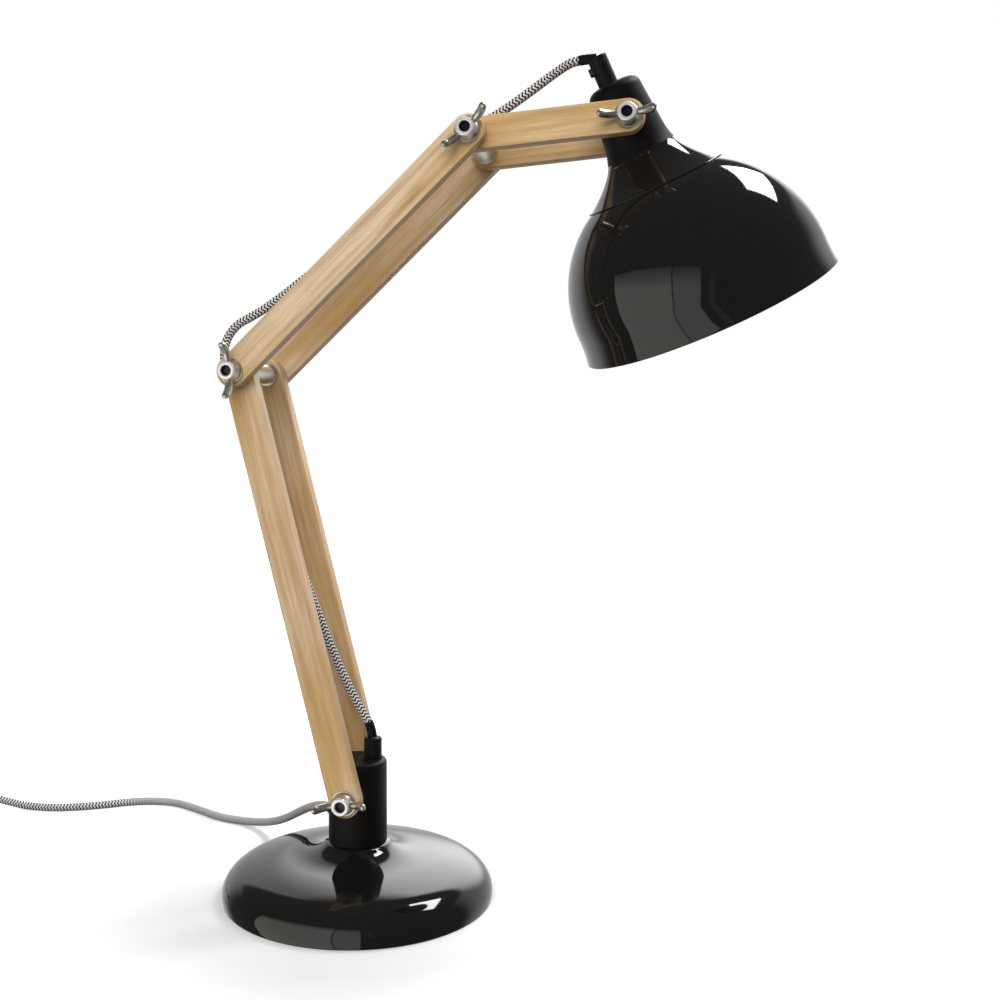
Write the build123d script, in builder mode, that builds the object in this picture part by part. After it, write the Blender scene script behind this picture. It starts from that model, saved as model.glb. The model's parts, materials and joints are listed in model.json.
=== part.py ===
from build123d import *
import math
import os

# Table lamp with two swing arms, in millimetres.
# The origin is the centre of the base's underside, +Z is up, and every joint bolt runs along Y.
# The front of the lamp, where the wing nuts are, faces -Y.

os.makedirs("parts", exist_ok=True)

# Driving dimensions: base and stem
BASE_RADIUS = 95.0
BASE_FOOT_RADIUS = 94.7
BASE_WIDEST_HEIGHT = 2.2
SHELL_WALL = 2.0
SHELL_LIP_HEIGHT = 0.8
SHELL_SEAT_HEIGHT = 38.0
FLARE_RADIUS = 22.6
PAD_RADIUS = 86.0
PAD_THICKNESS = 2.0
PLATE_RADIUS = 88.5
PLATE_THICKNESS = 1.5
BALLAST_RADIUS = 76.0
BALLAST_BOTTOM = PAD_THICKNESS + PLATE_THICKNESS
BALLAST_TOP = 18.5
PLATE_SCREW_CIRCLE = 60.0
STEM_RADIUS = 20.5
STEM_WALL = 3.0
STEM_FLOOR = 4.0
STEM_TOP = 96.0
STUD_RADIUS = 5.0
SIDE_GLAND_HEIGHT = 52.5
SIDE_GLAND_BEARING = 140.0
SIDE_GLAND_REACH = 34.0

# Driving dimensions: arms
PIVOT_HEIGHT = 75.0
LOWER_LENGTH = 301.6
LOWER_ANGLE = 104.37
UPPER_LENGTH = 223.0
UPPER_ANGLE = 43.66
HEAD_ARM_LENGTH = 101.8
HEAD_ARM_ANGLE = 4.1
SLAT_WIDTH = 21.5
SLAT_THICKNESS = 10.5
SLAT_GAP = 50.0
SLAT_SPACING = 0.5
SLAT_EDGE = 0.8

# Driving dimensions: M8 joint hardware
BOLT_RADIUS = 4.0
BOLT_HOLE_RADIUS = 4.08
WASHER_RADIUS = 8.4
WASHER_THICKNESS = 1.6
SPACER_RADIUS = 7.0
NUT_HEIGHT = 9.4
NUT_BASE_RADIUS = 7.6
NUT_MOUTH_RADIUS = 5.1
NUT_BOLT_RECESS = 4.2
WING_HALF_SPAN = 19.3
WING_THICKNESS = 3.4
RUNNING_GAP = 0.05

# Driving dimensions: head
HEAD_TILT = 23.7
HEAD_LEAN = 13.0
COVER_TOP = -31.5
COVER_END = 17.0
GLAND_TIP = -51.0
GLAND_RADIUS = 6.5
GLAND_OFFSET = 2.0
SHADE_TOP = 41.0
SHADE_CENTRE = 115.4
SHADE_RADIUS = 88.5
RIM_DEPTH = 134.4
RIM_RADIUS = 90.0
SHADE_WALL = 1.2

# Driving dimensions: cord, switch and plug
CORD_RADIUS = 3.1
CORD_ON_TABLE = 3.15
COIL_CENTRE = (-322.0, -20.0)
COIL_PITCH = 6.7
COIL_OUTER_RADIUS = 40.8
COIL_TURNS_PER_LAYER = 2.0
SWITCH_FRONT = -368.0
SWITCH_LENGTH = 72.0
SWITCH_WIDTH = 27.0
SWITCH_HEIGHT = 17.0
SWITCH_SPLIT = 9.0
SWITCH_Y = 120.0
ROCKER_TILT = 11.0
PLUG_TIP = (-384.0, 26.0)
PLUG_AXIS_HEIGHT = 7.0
PIN_SPACING = 19.0
PIN_RADIUS = 2.0
PIN_LENGTH = 19.0

# Worked-out places
INNER_FACE = SLAT_GAP / 2
OUTER_FACE = INNER_FACE + SLAT_THICKNESS
UPPER_INNER_FACE = OUTER_FACE + SLAT_SPACING
UPPER_OUTER_FACE = UPPER_INNER_FACE + SLAT_THICKNESS


def on_arm(start, angle, along, side):
    """A point in the arm's plane: so far along the arm from its start, and so far to its right."""
    a = math.radians(angle)
    x = start[0] + along * math.cos(a) + side * math.sin(a)
    z = start[1] + along * math.sin(a) - side * math.cos(a)
    return (x, z)


BASE_PIVOT = (0.0, PIVOT_HEIGHT)
ELBOW_ONE = on_arm(BASE_PIVOT, LOWER_ANGLE, LOWER_LENGTH, 0)
ELBOW_TWO = on_arm(ELBOW_ONE, UPPER_ANGLE, UPPER_LENGTH, 0)
HEAD_PIVOT = on_arm(ELBOW_TWO, HEAD_ARM_ANGLE, HEAD_ARM_LENGTH, 0)


def write(piece, name):
    """Labels one finished piece and writes its STEP file."""
    piece.part.label = name
    export_step(piece.part, f"parts/{name}.step")


# Base

# The shell's outer line runs from the foot, where it is widest, over the shoulder and up to the stem.
with BuildPart() as base_shell:
    with BuildSketch(Plane.XZ) as shell_section:
        with BuildLine():
            tuck = Bezier(
                (BASE_FOOT_RADIUS, SHELL_LIP_HEIGHT), (94.85, 1.2), (BASE_RADIUS, 1.7),
                (BASE_RADIUS, BASE_WIDEST_HEIGHT),
            )
            shoulder = Bezier(tuck @ 1, (BASE_RADIUS, 7.6), (85.2, 22.0), (74.6, 24.5))
            dome = Bezier(shoulder @ 1, (66.6, 26.4), (59.0, 27.7), (50.0, 28.7))
            flare = Bezier(dome @ 1, (40.0, 29.8), (28.0, 31.8), (FLARE_RADIUS, SHELL_SEAT_HEIGHT))
            seat = Line(flare @ 1, (STUD_RADIUS + 0.5, SHELL_SEAT_HEIGHT))
            seat_edge = Line(seat @ 1, (STUD_RADIUS + 0.5, SHELL_SEAT_HEIGHT - SHELL_WALL))
            inner_seat = Line(seat_edge @ 1, (FLARE_RADIUS - 1.0, SHELL_SEAT_HEIGHT - SHELL_WALL))
            inner_flare = Bezier(inner_seat @ 1, (26.4, 30.2), (39.3, 27.9), (49.8, 26.7))
            inner_dome = Bezier(inner_flare @ 1, (58.8, 25.7), (66.2, 24.4), (74.1, 22.55))
            inner_shoulder = Bezier(
                inner_dome @ 1, (84.0, 20.2), (BASE_RADIUS - SHELL_WALL, 7.0),
                (BASE_RADIUS - SHELL_WALL, BASE_WIDEST_HEIGHT),
            )
            inner_tuck = Bezier(
                inner_shoulder @ 1, (BASE_RADIUS - SHELL_WALL, 1.8), (BASE_RADIUS - SHELL_WALL, 1.2),
                (BASE_FOOT_RADIUS - 1.6, SHELL_LIP_HEIGHT),
            )
            Line(inner_tuck @ 1, tuck @ 0)
        make_face()
    revolve(axis=Axis.Z)
write(base_shell, "base_shell")

with BuildPart() as base_pad:
    with BuildSketch():
        Circle(PAD_RADIUS)
    extrude(amount=PAD_THICKNESS)
write(base_pad, "base_pad")

SCREW_HEAD_RADIUS = 3.75
SCREW_HEAD_DEPTH = 1.4
SCREW_RADIUS = 2.0
SCREW_LENGTH = 11.0
SCREW_STARTS = 90.0

with BuildPart() as base_plate:
    with BuildSketch(Plane.XY.offset(PAD_THICKNESS)):
        Circle(PLATE_RADIUS)
    extrude(amount=PLATE_THICKNESS)
    with Locations(base_plate.faces().sort_by(Axis.Z)[0]):
        with PolarLocations(PLATE_SCREW_CIRCLE, 3, start_angle=SCREW_STARTS):
            CounterSinkHole(SCREW_RADIUS + 0.1, SCREW_HEAD_RADIUS + 0.1)
write(base_plate, "base_plate")

NUT_RECESS_RADIUS = 12.0
NUT_RECESS_DEPTH = 11.0

with BuildPart() as ballast_weight:
    with BuildSketch(Plane.XY.offset(BALLAST_BOTTOM)):
        Circle(BALLAST_RADIUS)
    extrude(amount=BALLAST_TOP - BALLAST_BOTTOM)
    chamfer(ballast_weight.edges().group_by(Axis.Z)[-1], 3.0)
    with BuildSketch(Plane.XY.offset(BALLAST_BOTTOM)):
        Circle(NUT_RECESS_RADIUS)
    extrude(amount=NUT_RECESS_DEPTH, mode=Mode.SUBTRACT)
    with BuildSketch(Plane.XY.offset(BALLAST_BOTTOM)):
        Circle(STUD_RADIUS + 0.3)
    extrude(amount=BALLAST_TOP, mode=Mode.SUBTRACT)
    with BuildSketch(Plane.XY.offset(BALLAST_BOTTOM)):
        with PolarLocations(PLATE_SCREW_CIRCLE, 3, start_angle=-SCREW_STARTS):
            Circle(SCREW_RADIUS + 0.05)
    extrude(amount=SCREW_LENGTH, mode=Mode.SUBTRACT)
write(ballast_weight, "ballast_weight")

with BuildPart() as plate_screws:
    with BuildSketch(Plane.XY.offset(PAD_THICKNESS)):
        with PolarLocations(PLATE_SCREW_CIRCLE, 3, start_angle=-SCREW_STARTS):
            Circle(SCREW_RADIUS)
    extrude(amount=SCREW_LENGTH)
    with PolarLocations(PLATE_SCREW_CIRCLE, 3, start_angle=-SCREW_STARTS):
        with Locations((0, 0, PAD_THICKNESS)):
            Cone(SCREW_HEAD_RADIUS, SCREW_RADIUS, SCREW_HEAD_DEPTH, align=(Align.CENTER, Align.CENTER, Align.MIN))
write(plate_screws, "plate_screws")

# Stem and what clamps it to the base

STEM_BOTTOM = SHELL_SEAT_HEIGHT
STEM_INSIDE = STEM_BOTTOM + STEM_FLOOR
STUD_TOP = 53.0
NUT_ACROSS_FLATS = 17.0
STUD_NUT_HEIGHT = 6.0
STUD_WASHER_RADIUS = 10.0
STUD_WASHER_THICKNESS = 2.0
BOTTOM_NUT_TOP = BALLAST_BOTTOM + NUT_RECESS_DEPTH - STUD_WASHER_THICKNESS
GLAND_NIPPLE_RADIUS = 4.6
CORD_BORE_RADIUS = CORD_RADIUS + 0.05
STEM_GLAND_PLACE = (10.0, 4.0)
STEM_GLAND_TOP = 110.5
STEM_GLAND_RADIUS = 6.3

side_gland_direction = Vector(1, 0, 0).rotate(Axis.Z, SIDE_GLAND_BEARING)
side_gland_plane = Plane(origin=(0, 0, SIDE_GLAND_HEIGHT), x_dir=(0, 0, 1), z_dir=side_gland_direction)

with BuildPart() as stem:
    with BuildSketch(Plane.XY.offset(STEM_BOTTOM)):
        Circle(STEM_RADIUS)
    extrude(amount=STEM_TOP - STEM_BOTTOM)
    fillet(stem.edges().group_by(Axis.Z)[-1], 2.5)
    chamfer(stem.edges().group_by(Axis.Z)[0], 0.8)
    with BuildSketch(Plane.XY.offset(STEM_INSIDE)):
        Circle(STEM_RADIUS - STEM_WALL)
    extrude(amount=STEM_TOP - STEM_WALL - STEM_INSIDE, mode=Mode.SUBTRACT)
    with BuildSketch(Plane.XY.offset(STEM_BOTTOM)):
        Circle(STUD_RADIUS + 0.3)
    extrude(amount=STEM_FLOOR, mode=Mode.SUBTRACT)
    with BuildSketch(Plane.XY.offset(STEM_TOP)):
        with Locations(STEM_GLAND_PLACE):
            Circle(GLAND_NIPPLE_RADIUS + 0.1)
    extrude(amount=-STEM_WALL * 1.5, mode=Mode.SUBTRACT)
    with BuildSketch(Plane.XZ):
        with Locations(BASE_PIVOT):
            Circle(BOLT_HOLE_RADIUS)
    extrude(amount=STEM_RADIUS + 1, both=True, mode=Mode.SUBTRACT)
    with BuildSketch(side_gland_plane):
        Circle(GLAND_NIPPLE_RADIUS + 0.1)
    extrude(amount=STEM_RADIUS + 1, mode=Mode.SUBTRACT)
write(stem, "stem")

with BuildPart() as stem_stud:
    with BuildSketch(Plane.XY.offset(BALLAST_BOTTOM)):
        Circle(STUD_RADIUS)
    extrude(amount=STUD_TOP - BALLAST_BOTTOM)
    chamfer(stem_stud.edges().filter_by(GeomType.CIRCLE), 0.8)
write(stem_stud, "stem_stud")

with BuildPart() as stem_nuts:
    for nut_bottom in (BOTTOM_NUT_TOP - STUD_NUT_HEIGHT, STEM_INSIDE + STUD_WASHER_THICKNESS):
        with BuildSketch(Plane.XY.offset(nut_bottom)):
            RegularPolygon(NUT_ACROSS_FLATS / 2, 6, major_radius=False)
            Circle(STUD_RADIUS + 0.05, mode=Mode.SUBTRACT)
        extrude(amount=STUD_NUT_HEIGHT)
write(stem_nuts, "stem_nuts")

with BuildPart() as stem_washers:
    for washer_bottom in (BOTTOM_NUT_TOP, STEM_INSIDE):
        with BuildSketch(Plane.XY.offset(washer_bottom)):
            Circle(STUD_WASHER_RADIUS)
            Circle(STUD_RADIUS + 0.3, mode=Mode.SUBTRACT)
        extrude(amount=STUD_WASHER_THICKNESS)
write(stem_washers, "stem_washers")

with BuildPart() as stem_spacer:
    with BuildSketch(Plane.XY.offset(BALLAST_TOP)):
        Circle(STUD_RADIUS + 4)
        Circle(STUD_RADIUS + 0.3, mode=Mode.SUBTRACT)
    extrude(amount=SHELL_SEAT_HEIGHT - SHELL_WALL - BALLAST_TOP)
write(stem_spacer, "stem_spacer")

with BuildPart() as stem_gland:
    with BuildSketch(Plane.XY.offset(STEM_TOP - STEM_WALL - 4)):
        with Locations(STEM_GLAND_PLACE):
            Circle(GLAND_NIPPLE_RADIUS)
    extrude(amount=STEM_WALL + 4)
    with BuildSketch(Plane.XY.offset(STEM_TOP)):
        with Locations(STEM_GLAND_PLACE):
            Circle(STEM_GLAND_RADIUS)
    extrude(amount=STEM_GLAND_TOP - STEM_TOP)
    fillet(stem_gland.edges().group_by(Axis.Z)[-1], 1.0)
    with BuildSketch(Plane.XY.offset(STEM_TOP)):
        with Locations(STEM_GLAND_PLACE):
            Circle(CORD_BORE_RADIUS)
    extrude(amount=2 * STEM_WALL + 10, both=True, mode=Mode.SUBTRACT)
write(stem_gland, "stem_gland")

# The side gland tapers to the cord, and its collar is cut to sit on the round stem.
stem_envelope = Cylinder(STEM_RADIUS, 2 * STEM_TOP)

with BuildPart() as side_gland:
    with BuildSketch(side_gland_plane):
        Circle(STEM_GLAND_RADIUS)
    extrude(amount=26)
    with BuildSketch(side_gland_plane.offset(26)):
        Circle(STEM_GLAND_RADIUS)
    with BuildSketch(side_gland_plane.offset(SIDE_GLAND_REACH)):
        Circle(CORD_RADIUS + 1.4)
    loft()
    add(stem_envelope, mode=Mode.SUBTRACT)
    with BuildSketch(side_gland_plane.offset(STEM_RADIUS - STEM_WALL - 2.5)):
        Circle(GLAND_NIPPLE_RADIUS)
    extrude(amount=STEM_WALL + 4)
    with BuildSketch(side_gland_plane):
        Circle(CORD_BORE_RADIUS)
    extrude(amount=2 * SIDE_GLAND_REACH, mode=Mode.SUBTRACT)
write(side_gland, "side_gland")

TERMINAL_BLOCK_SIZE = (20.0, 12.0, 12.0)

with BuildPart() as terminal_block:
    with BuildSketch(Plane.XY.offset(STUD_TOP)):
        RectangleRounded(TERMINAL_BLOCK_SIZE[0], TERMINAL_BLOCK_SIZE[1], 2)
    extrude(amount=TERMINAL_BLOCK_SIZE[2])
    with BuildSketch(Plane.XY.offset(STUD_TOP + TERMINAL_BLOCK_SIZE[2])):
        with GridLocations(9, 6, 2, 2):
            Circle(1.6)
    extrude(amount=-5, mode=Mode.SUBTRACT)
write(terminal_block, "terminal_block")


def saddle_washers(centre, envelope, inner_reach, outer_face):
    """Two fibre washers, cut to a round part on their inner side and flat towards the slats."""
    with BuildPart() as washers:
        for side in (1, -1):
            with BuildSketch(Plane.XZ.offset(side * inner_reach)):
                with Locations(centre):
                    Circle(SLAT_WIDTH / 2 - 0.6)
                    Circle(BOLT_HOLE_RADIUS, mode=Mode.SUBTRACT)
            extrude(amount=side * (outer_face - inner_reach))
        add(envelope, mode=Mode.SUBTRACT)
    return washers


stem_friction_washers = saddle_washers(BASE_PIVOT, stem_envelope, 16.5, INNER_FACE - RUNNING_GAP)
write(stem_friction_washers, "stem_friction_washers")


# Arms

NECK_LENGTH = 5.0
NECK_WIDTH = 8.2
BOLT_HEAD_RADIUS = 9.5
BOLT_HEAD_HEIGHT = 4.4
BOLT_HEAD_RIM = 0.9


def slat(start, end, inner_face, side, neck_at):
    """One wooden slat with rounded ends, drilled at both joints, with square pockets for bolt necks."""
    outer_face = inner_face + SLAT_THICKNESS
    middle = ((start[0] + end[0]) / 2, (start[1] + end[1]) / 2)
    turn = math.degrees(math.atan2(end[1] - start[1], end[0] - start[0]))
    with BuildPart() as piece:
        with BuildSketch(Plane.XZ.offset(side * inner_face)):
            with Locations(middle):
                SlotCenterToCenter(math.dist(start, end), SLAT_WIDTH, rotation=turn)
        extrude(amount=side * SLAT_THICKNESS)
        flat_faces = piece.faces().filter_by(Axis.Y)
        fillet(flat_faces.edges(), SLAT_EDGE)
        with BuildSketch(Plane.XZ.offset(side * inner_face)):
            with Locations(start, end):
                Circle(BOLT_HOLE_RADIUS)
        extrude(amount=side * SLAT_THICKNESS, mode=Mode.SUBTRACT)
        for place in neck_at:
            with BuildSketch(Plane.XZ.offset(side * outer_face)):
                with Locations(place):
                    Rectangle(NECK_WIDTH + 0.1, NECK_WIDTH + 0.1)
            extrude(amount=-side * NECK_LENGTH, mode=Mode.SUBTRACT)
    return piece


# The first slat of each pair is in front, the second behind, where the bolts' square necks sit.
for arm, start, end, face, necks in (
    ("lower_arm", BASE_PIVOT, ELBOW_ONE, INNER_FACE, [BASE_PIVOT]),
    ("upper_arm", ELBOW_ONE, ELBOW_TWO, UPPER_INNER_FACE, [ELBOW_ONE, ELBOW_TWO]),
    ("head_arm", ELBOW_TWO, HEAD_PIVOT, INNER_FACE, [HEAD_PIVOT]),
):
    write(slat(start, end, face, 1, []), f"{arm}_front")
    write(slat(start, end, face, -1, necks), f"{arm}_rear")


def coach_bolt(centre, slat_face):
    """A cup-headed bolt: domed head behind, square neck in the slat, and a shank that ends in the nut."""
    shank_end = slat_face + WASHER_THICKNESS + NUT_HEIGHT - NUT_BOLT_RECESS
    x, z = centre
    # The cap is part of a sphere that is centred on the bolt's axis.
    cap_height = BOLT_HEAD_HEIGHT - BOLT_HEAD_RIM
    cap_radius = (BOLT_HEAD_RADIUS**2 + cap_height**2) / (2 * cap_height)
    half_way = (
        slat_face + BOLT_HEAD_HEIGHT - cap_radius + math.sqrt(cap_radius**2 - BOLT_HEAD_RADIUS**2 / 4),
        z + BOLT_HEAD_RADIUS / 2,
    )
    with BuildPart() as bolt:
        with BuildSketch(Plane.YZ.offset(x)):
            with BuildLine():
                shank = Polyline(
                    (-shank_end, z), (-shank_end, z + BOLT_RADIUS - 0.7), (0.7 - shank_end, z + BOLT_RADIUS),
                    (slat_face, z + BOLT_RADIUS), (slat_face, z + BOLT_HEAD_RADIUS),
                    (slat_face + BOLT_HEAD_RIM, z + BOLT_HEAD_RADIUS),
                )
                crown = ThreePointArc(shank @ 1, half_way, (slat_face + BOLT_HEAD_HEIGHT, z))
                Line(crown @ 1, shank @ 0)
            make_face()
        revolve(axis=Axis((x, 0, z), (0, 1, 0)))
        with BuildSketch(Plane.XZ.offset(-slat_face)):
            with Locations(centre):
                Rectangle(NECK_WIDTH, NECK_WIDTH)
                Circle(BOLT_RADIUS - 0.5, mode=Mode.SUBTRACT)
        extrude(amount=NECK_LENGTH - 0.1)
    return bolt


def front_washers(places):
    """Flat washers under wing nuts, each given as its centre and the slat face that it lies on."""
    with BuildPart() as washers:
        for centre, slat_face in places:
            with BuildSketch(Plane.XZ.offset(slat_face)):
                with Locations(centre):
                    Circle(WASHER_RADIUS)
                    Circle(BOLT_HOLE_RADIUS, mode=Mode.SUBTRACT)
            extrude(amount=WASHER_THICKNESS)
    return washers


write(coach_bolt(BASE_PIVOT, OUTER_FACE), "base_bolt")
write(coach_bolt(ELBOW_ONE, UPPER_OUTER_FACE), "elbow_one_bolt")
write(coach_bolt(ELBOW_TWO, UPPER_OUTER_FACE), "elbow_two_bolt")
write(coach_bolt(HEAD_PIVOT, OUTER_FACE), "head_bolt")
write(front_washers([(BASE_PIVOT, OUTER_FACE)]), "base_bolt_washer")
write(
    front_washers([(ELBOW_ONE, UPPER_OUTER_FACE), (ELBOW_TWO, UPPER_OUTER_FACE)]), "elbow_bolt_washers"
)
write(front_washers([(HEAD_PIVOT, OUTER_FACE)]), "head_bolt_washer")

SPACER_HALF_LENGTH = INNER_FACE - WASHER_THICKNESS

for name, centre in (("elbow_one", ELBOW_ONE), ("elbow_two", ELBOW_TWO)):
    with BuildPart() as spacer:
        with BuildSketch(Plane.XZ):
            with Locations(centre):
                Circle(SPACER_RADIUS)
                Circle(BOLT_HOLE_RADIUS, mode=Mode.SUBTRACT)
        extrude(amount=SPACER_HALF_LENGTH, both=True)
    write(spacer, f"{name}_spacer")
    with BuildPart() as spacer_washers:
        for side in (1, -1):
            with BuildSketch(Plane.XZ.offset(side * SPACER_HALF_LENGTH)):
                with Locations(centre):
                    Circle(WASHER_RADIUS)
                    Circle(BOLT_HOLE_RADIUS, mode=Mode.SUBTRACT)
            extrude(amount=side * WASHER_THICKNESS)
    write(spacer_washers, f"{name}_spacer_washers")


def wing_nut(centre, slat_face, wing_angle):
    """A cast wing nut on its washer: a flanged, tapered boss and two raised wings, bored for the bolt."""
    a = math.radians(wing_angle)
    wing_direction = Vector(math.cos(a), 0, math.sin(a))
    seat = Plane(
        origin=(centre[0], -slat_face - WASHER_THICKNESS - RUNNING_GAP, centre[1]),
        x_dir=wing_direction, z_dir=(0, -1, 0),
    )
    wing_plane = Plane(origin=seat.origin, x_dir=wing_direction, z_dir=seat.x_dir.cross(seat.z_dir))
    with BuildPart() as nut:
        with BuildSketch(wing_plane):
            with BuildLine():
                Polyline(
                    (0, 0), (NUT_BASE_RADIUS, 0), (NUT_BASE_RADIUS, 1.3), (NUT_BASE_RADIUS - 0.9, 2.2),
                    (NUT_MOUTH_RADIUS + 0.2, NUT_HEIGHT - 0.6), (NUT_MOUTH_RADIUS, NUT_HEIGHT), (0, NUT_HEIGHT),
                    close=True,
                )
            make_face()
        revolve(axis=Axis(seat.origin, seat.z_dir))
        with BuildSketch(wing_plane) as wings:
            with BuildLine():
                lower = Bezier((3.0, 1.4), (11.0, 1.4), (17.6, 4.8), (WING_HALF_SPAN, 13.2))
                tip = ThreePointArc(lower @ 1, (18.2, 15.9), (15.6, 15.2))
                upper = Bezier(tip @ 1, (13.6, 10.6), (9.5, 7.8), (3.0, 6.8))
                Line(upper @ 1, lower @ 0)
            make_face()
            mirror(about=Plane.YZ)
        extrude(amount=WING_THICKNESS / 2, both=True)
        with BuildSketch(seat):
            Circle(BOLT_HOLE_RADIUS)
        extrude(amount=NUT_HEIGHT, mode=Mode.SUBTRACT)
    return nut


# Where each nut's wings came to rest when it was last tightened, as an angle from +X towards +Z.
write(wing_nut(BASE_PIVOT, OUTER_FACE, 7), "base_wing_nut")
write(wing_nut(ELBOW_ONE, UPPER_OUTER_FACE, 94), "elbow_one_wing_nut")
write(wing_nut(ELBOW_TWO, UPPER_OUTER_FACE, 43), "elbow_two_wing_nut")
write(wing_nut(HEAD_PIVOT, OUTER_FACE, 4), "head_wing_nut")

# Head: every piece is turned about the head's own axis, which points from the pivot to the shade's rim

tilt, lean = math.radians(HEAD_TILT), math.radians(HEAD_LEAN)
head_axis = Vector(math.sin(tilt) * math.cos(lean), math.sin(lean), -math.cos(tilt) * math.cos(lean))
head_origin = Vector(HEAD_PIVOT[0], 0, HEAD_PIVOT[1])
head_side = Vector(-math.cos(tilt), 0, -math.sin(tilt))
head_section = Plane(origin=head_origin, x_dir=head_side, z_dir=head_side.cross(head_axis))
head_turn = Axis(head_origin, head_axis)


def head_plane(depth):
    """The plane across the head's axis, so far from the pivot towards the rim."""
    return Plane(origin=head_origin + head_axis * depth, x_dir=head_side, z_dir=head_axis)


COVER_LINE = [(17.9, -25.0), (18.3, -20.0), (19.3, -10.0), (20.3, 0.0), (21.4, 9.0), (23.6, COVER_END)]
COVER_WALL = 1.8
COVER_ROOF = 4.0
COVER_SLOT_HALF = 5.0
COVER_FLAT_FACE = INNER_FACE - 0.45
COVER_FLAT_END = 11.3
cover_side_plane = Plane(origin=head_origin, x_dir=(math.sin(tilt), 0, -math.cos(tilt)), z_dir=(0, -1, 0))

with BuildPart() as socket_cover:
    with BuildSketch(head_section):
        with BuildLine():
            top = Line((0, COVER_TOP), (7.0, COVER_TOP))
            crown = Bezier(top @ 1, (13.0, COVER_TOP), (17.4, COVER_TOP + 2.0), COVER_LINE[0])
            wall = Spline(*COVER_LINE)
            mouth = Line(wall @ 1, (COVER_LINE[-1][0] - COVER_WALL, COVER_END))
            inner = Spline(*[(r - COVER_WALL, s) for r, s in reversed(COVER_LINE[1:])])
            roof = Line(inner @ 1, (15.4, COVER_TOP + COVER_ROOF))
            ceiling = Line(roof @ 1, (0, COVER_TOP + COVER_ROOF))
            Line(ceiling @ 1, top @ 0)
        make_face()
    revolve(axis=head_turn)
    with BuildSketch(head_plane(COVER_TOP)):
        with Locations((GLAND_OFFSET, 0)):
            Circle(GLAND_NIPPLE_RADIUS + 0.1)
    extrude(amount=5, mode=Mode.SUBTRACT)
    with BuildSketch(cover_side_plane):
        SlotCenterToCenter(2 * COVER_SLOT_HALF, 2 * BOLT_HOLE_RADIUS)
    extrude(amount=30, both=True, mode=Mode.SUBTRACT)
    # Shallow flats keep the leaning cover clear of the slats' round ends.
    with BuildSketch(cover_side_plane.offset(COVER_FLAT_FACE), cover_side_plane.offset(-COVER_FLAT_FACE - 5)):
        with Locations((COVER_FLAT_END / 2 - 10, 0)):
            Rectangle(COVER_FLAT_END + 20, 60)
    extrude(amount=5, mode=Mode.SUBTRACT)
write(socket_cover, "socket_cover")

# The cord goes into the gland level and from the side, through a notch in its upper corner.
GLAND_SCREW_DEPTH = -42.6
GLAND_SCREW_RADIUS = 3.0
GLAND_SCREW_STAND = 2.0
CORD_ENTRY_HEIGHT = 43.4
CORD_ENTRY_INSET = 21.6
gland_screw_plane = Plane(
    origin=head_origin + head_axis * GLAND_SCREW_DEPTH + head_side * GLAND_OFFSET, x_dir=head_axis, z_dir=head_side
)
gland_middle = head_origin + head_axis * (-CORD_ENTRY_HEIGHT / math.cos(tilt) / math.cos(lean))
cord_end = Vector(HEAD_PIVOT[0] - CORD_ENTRY_INSET, gland_middle.Y, HEAD_PIVOT[1] + CORD_ENTRY_HEIGHT)
cord_entry_plane = Plane(origin=cord_end, x_dir=(0, 1, 0), z_dir=(1, 0, 0))

with BuildPart() as head_gland:
    with BuildSketch(head_plane(COVER_TOP)):
        with Locations((GLAND_OFFSET, 0)):
            Circle(GLAND_RADIUS)
    extrude(amount=GLAND_TIP - COVER_TOP)
    fillet(head_gland.edges().filter_by(GeomType.CIRCLE).sort_by(Axis.Z)[-1], 1.0)
    with BuildSketch(head_plane(COVER_TOP)):
        with Locations((GLAND_OFFSET, 0)):
            Circle(GLAND_NIPPLE_RADIUS)
    extrude(amount=7)
    with BuildSketch(gland_screw_plane.offset(2.0)):
        Circle(GLAND_SCREW_RADIUS)
    extrude(amount=GLAND_RADIUS, mode=Mode.SUBTRACT)
    with BuildSketch(cord_entry_plane):
        Circle(CORD_BORE_RADIUS)
    extrude(amount=-20, mode=Mode.SUBTRACT)
write(head_gland, "head_gland")

with BuildPart() as gland_screw:
    with BuildSketch(gland_screw_plane.offset(2.0)):
        Circle(GLAND_SCREW_RADIUS)
    extrude(amount=GLAND_RADIUS - 2.0 + GLAND_SCREW_STAND)
    fillet(gland_screw.edges().filter_by(GeomType.CIRCLE).sort_by(Axis.X)[0], 0.8)
write(gland_screw, "gland_screw")

with BuildPart() as cover_envelope:
    with BuildSketch(head_section):
        with BuildLine():
            outside = Spline(*COVER_LINE)
            Polyline(outside @ 1, (0, COVER_END), (0, COVER_LINE[0][1]), outside @ 0)
        make_face()
    revolve(axis=head_turn)

head_friction_washers = saddle_washers(
    HEAD_PIVOT, cover_envelope.part, 16.5, INNER_FACE - RUNNING_GAP
)
write(head_friction_washers, "head_friction_washers")

NECK_END_RADIUS = math.sqrt(SHADE_RADIUS**2 - (SHADE_CENTRE - SHADE_TOP) ** 2)
FLANGE_RADIUS = 18.4
FLANGE_THICKNESS = 1.4

with BuildPart() as shade_neck:
    with BuildSketch(head_section):
        with BuildLine():
            flare = Bezier((23.7, COVER_END), (25.9, 23.6), (37.2, 34.4), (NECK_END_RADIUS, SHADE_TOP))
            lip = Line(flare @ 1, (NECK_END_RADIUS - 2.4, SHADE_TOP))
            under = Bezier(lip @ 1, (36.2, 35.6), (24.6, 24.6), (22.6, COVER_END + FLANGE_THICKNESS))
            flange = Line(under @ 1, (FLANGE_RADIUS, COVER_END + FLANGE_THICKNESS))
            hole = Line(flange @ 1, (FLANGE_RADIUS, COVER_END))
            Line(hole @ 1, flare @ 0)
        make_face()
    revolve(axis=head_turn)
write(shade_neck, "shade_neck")


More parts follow.
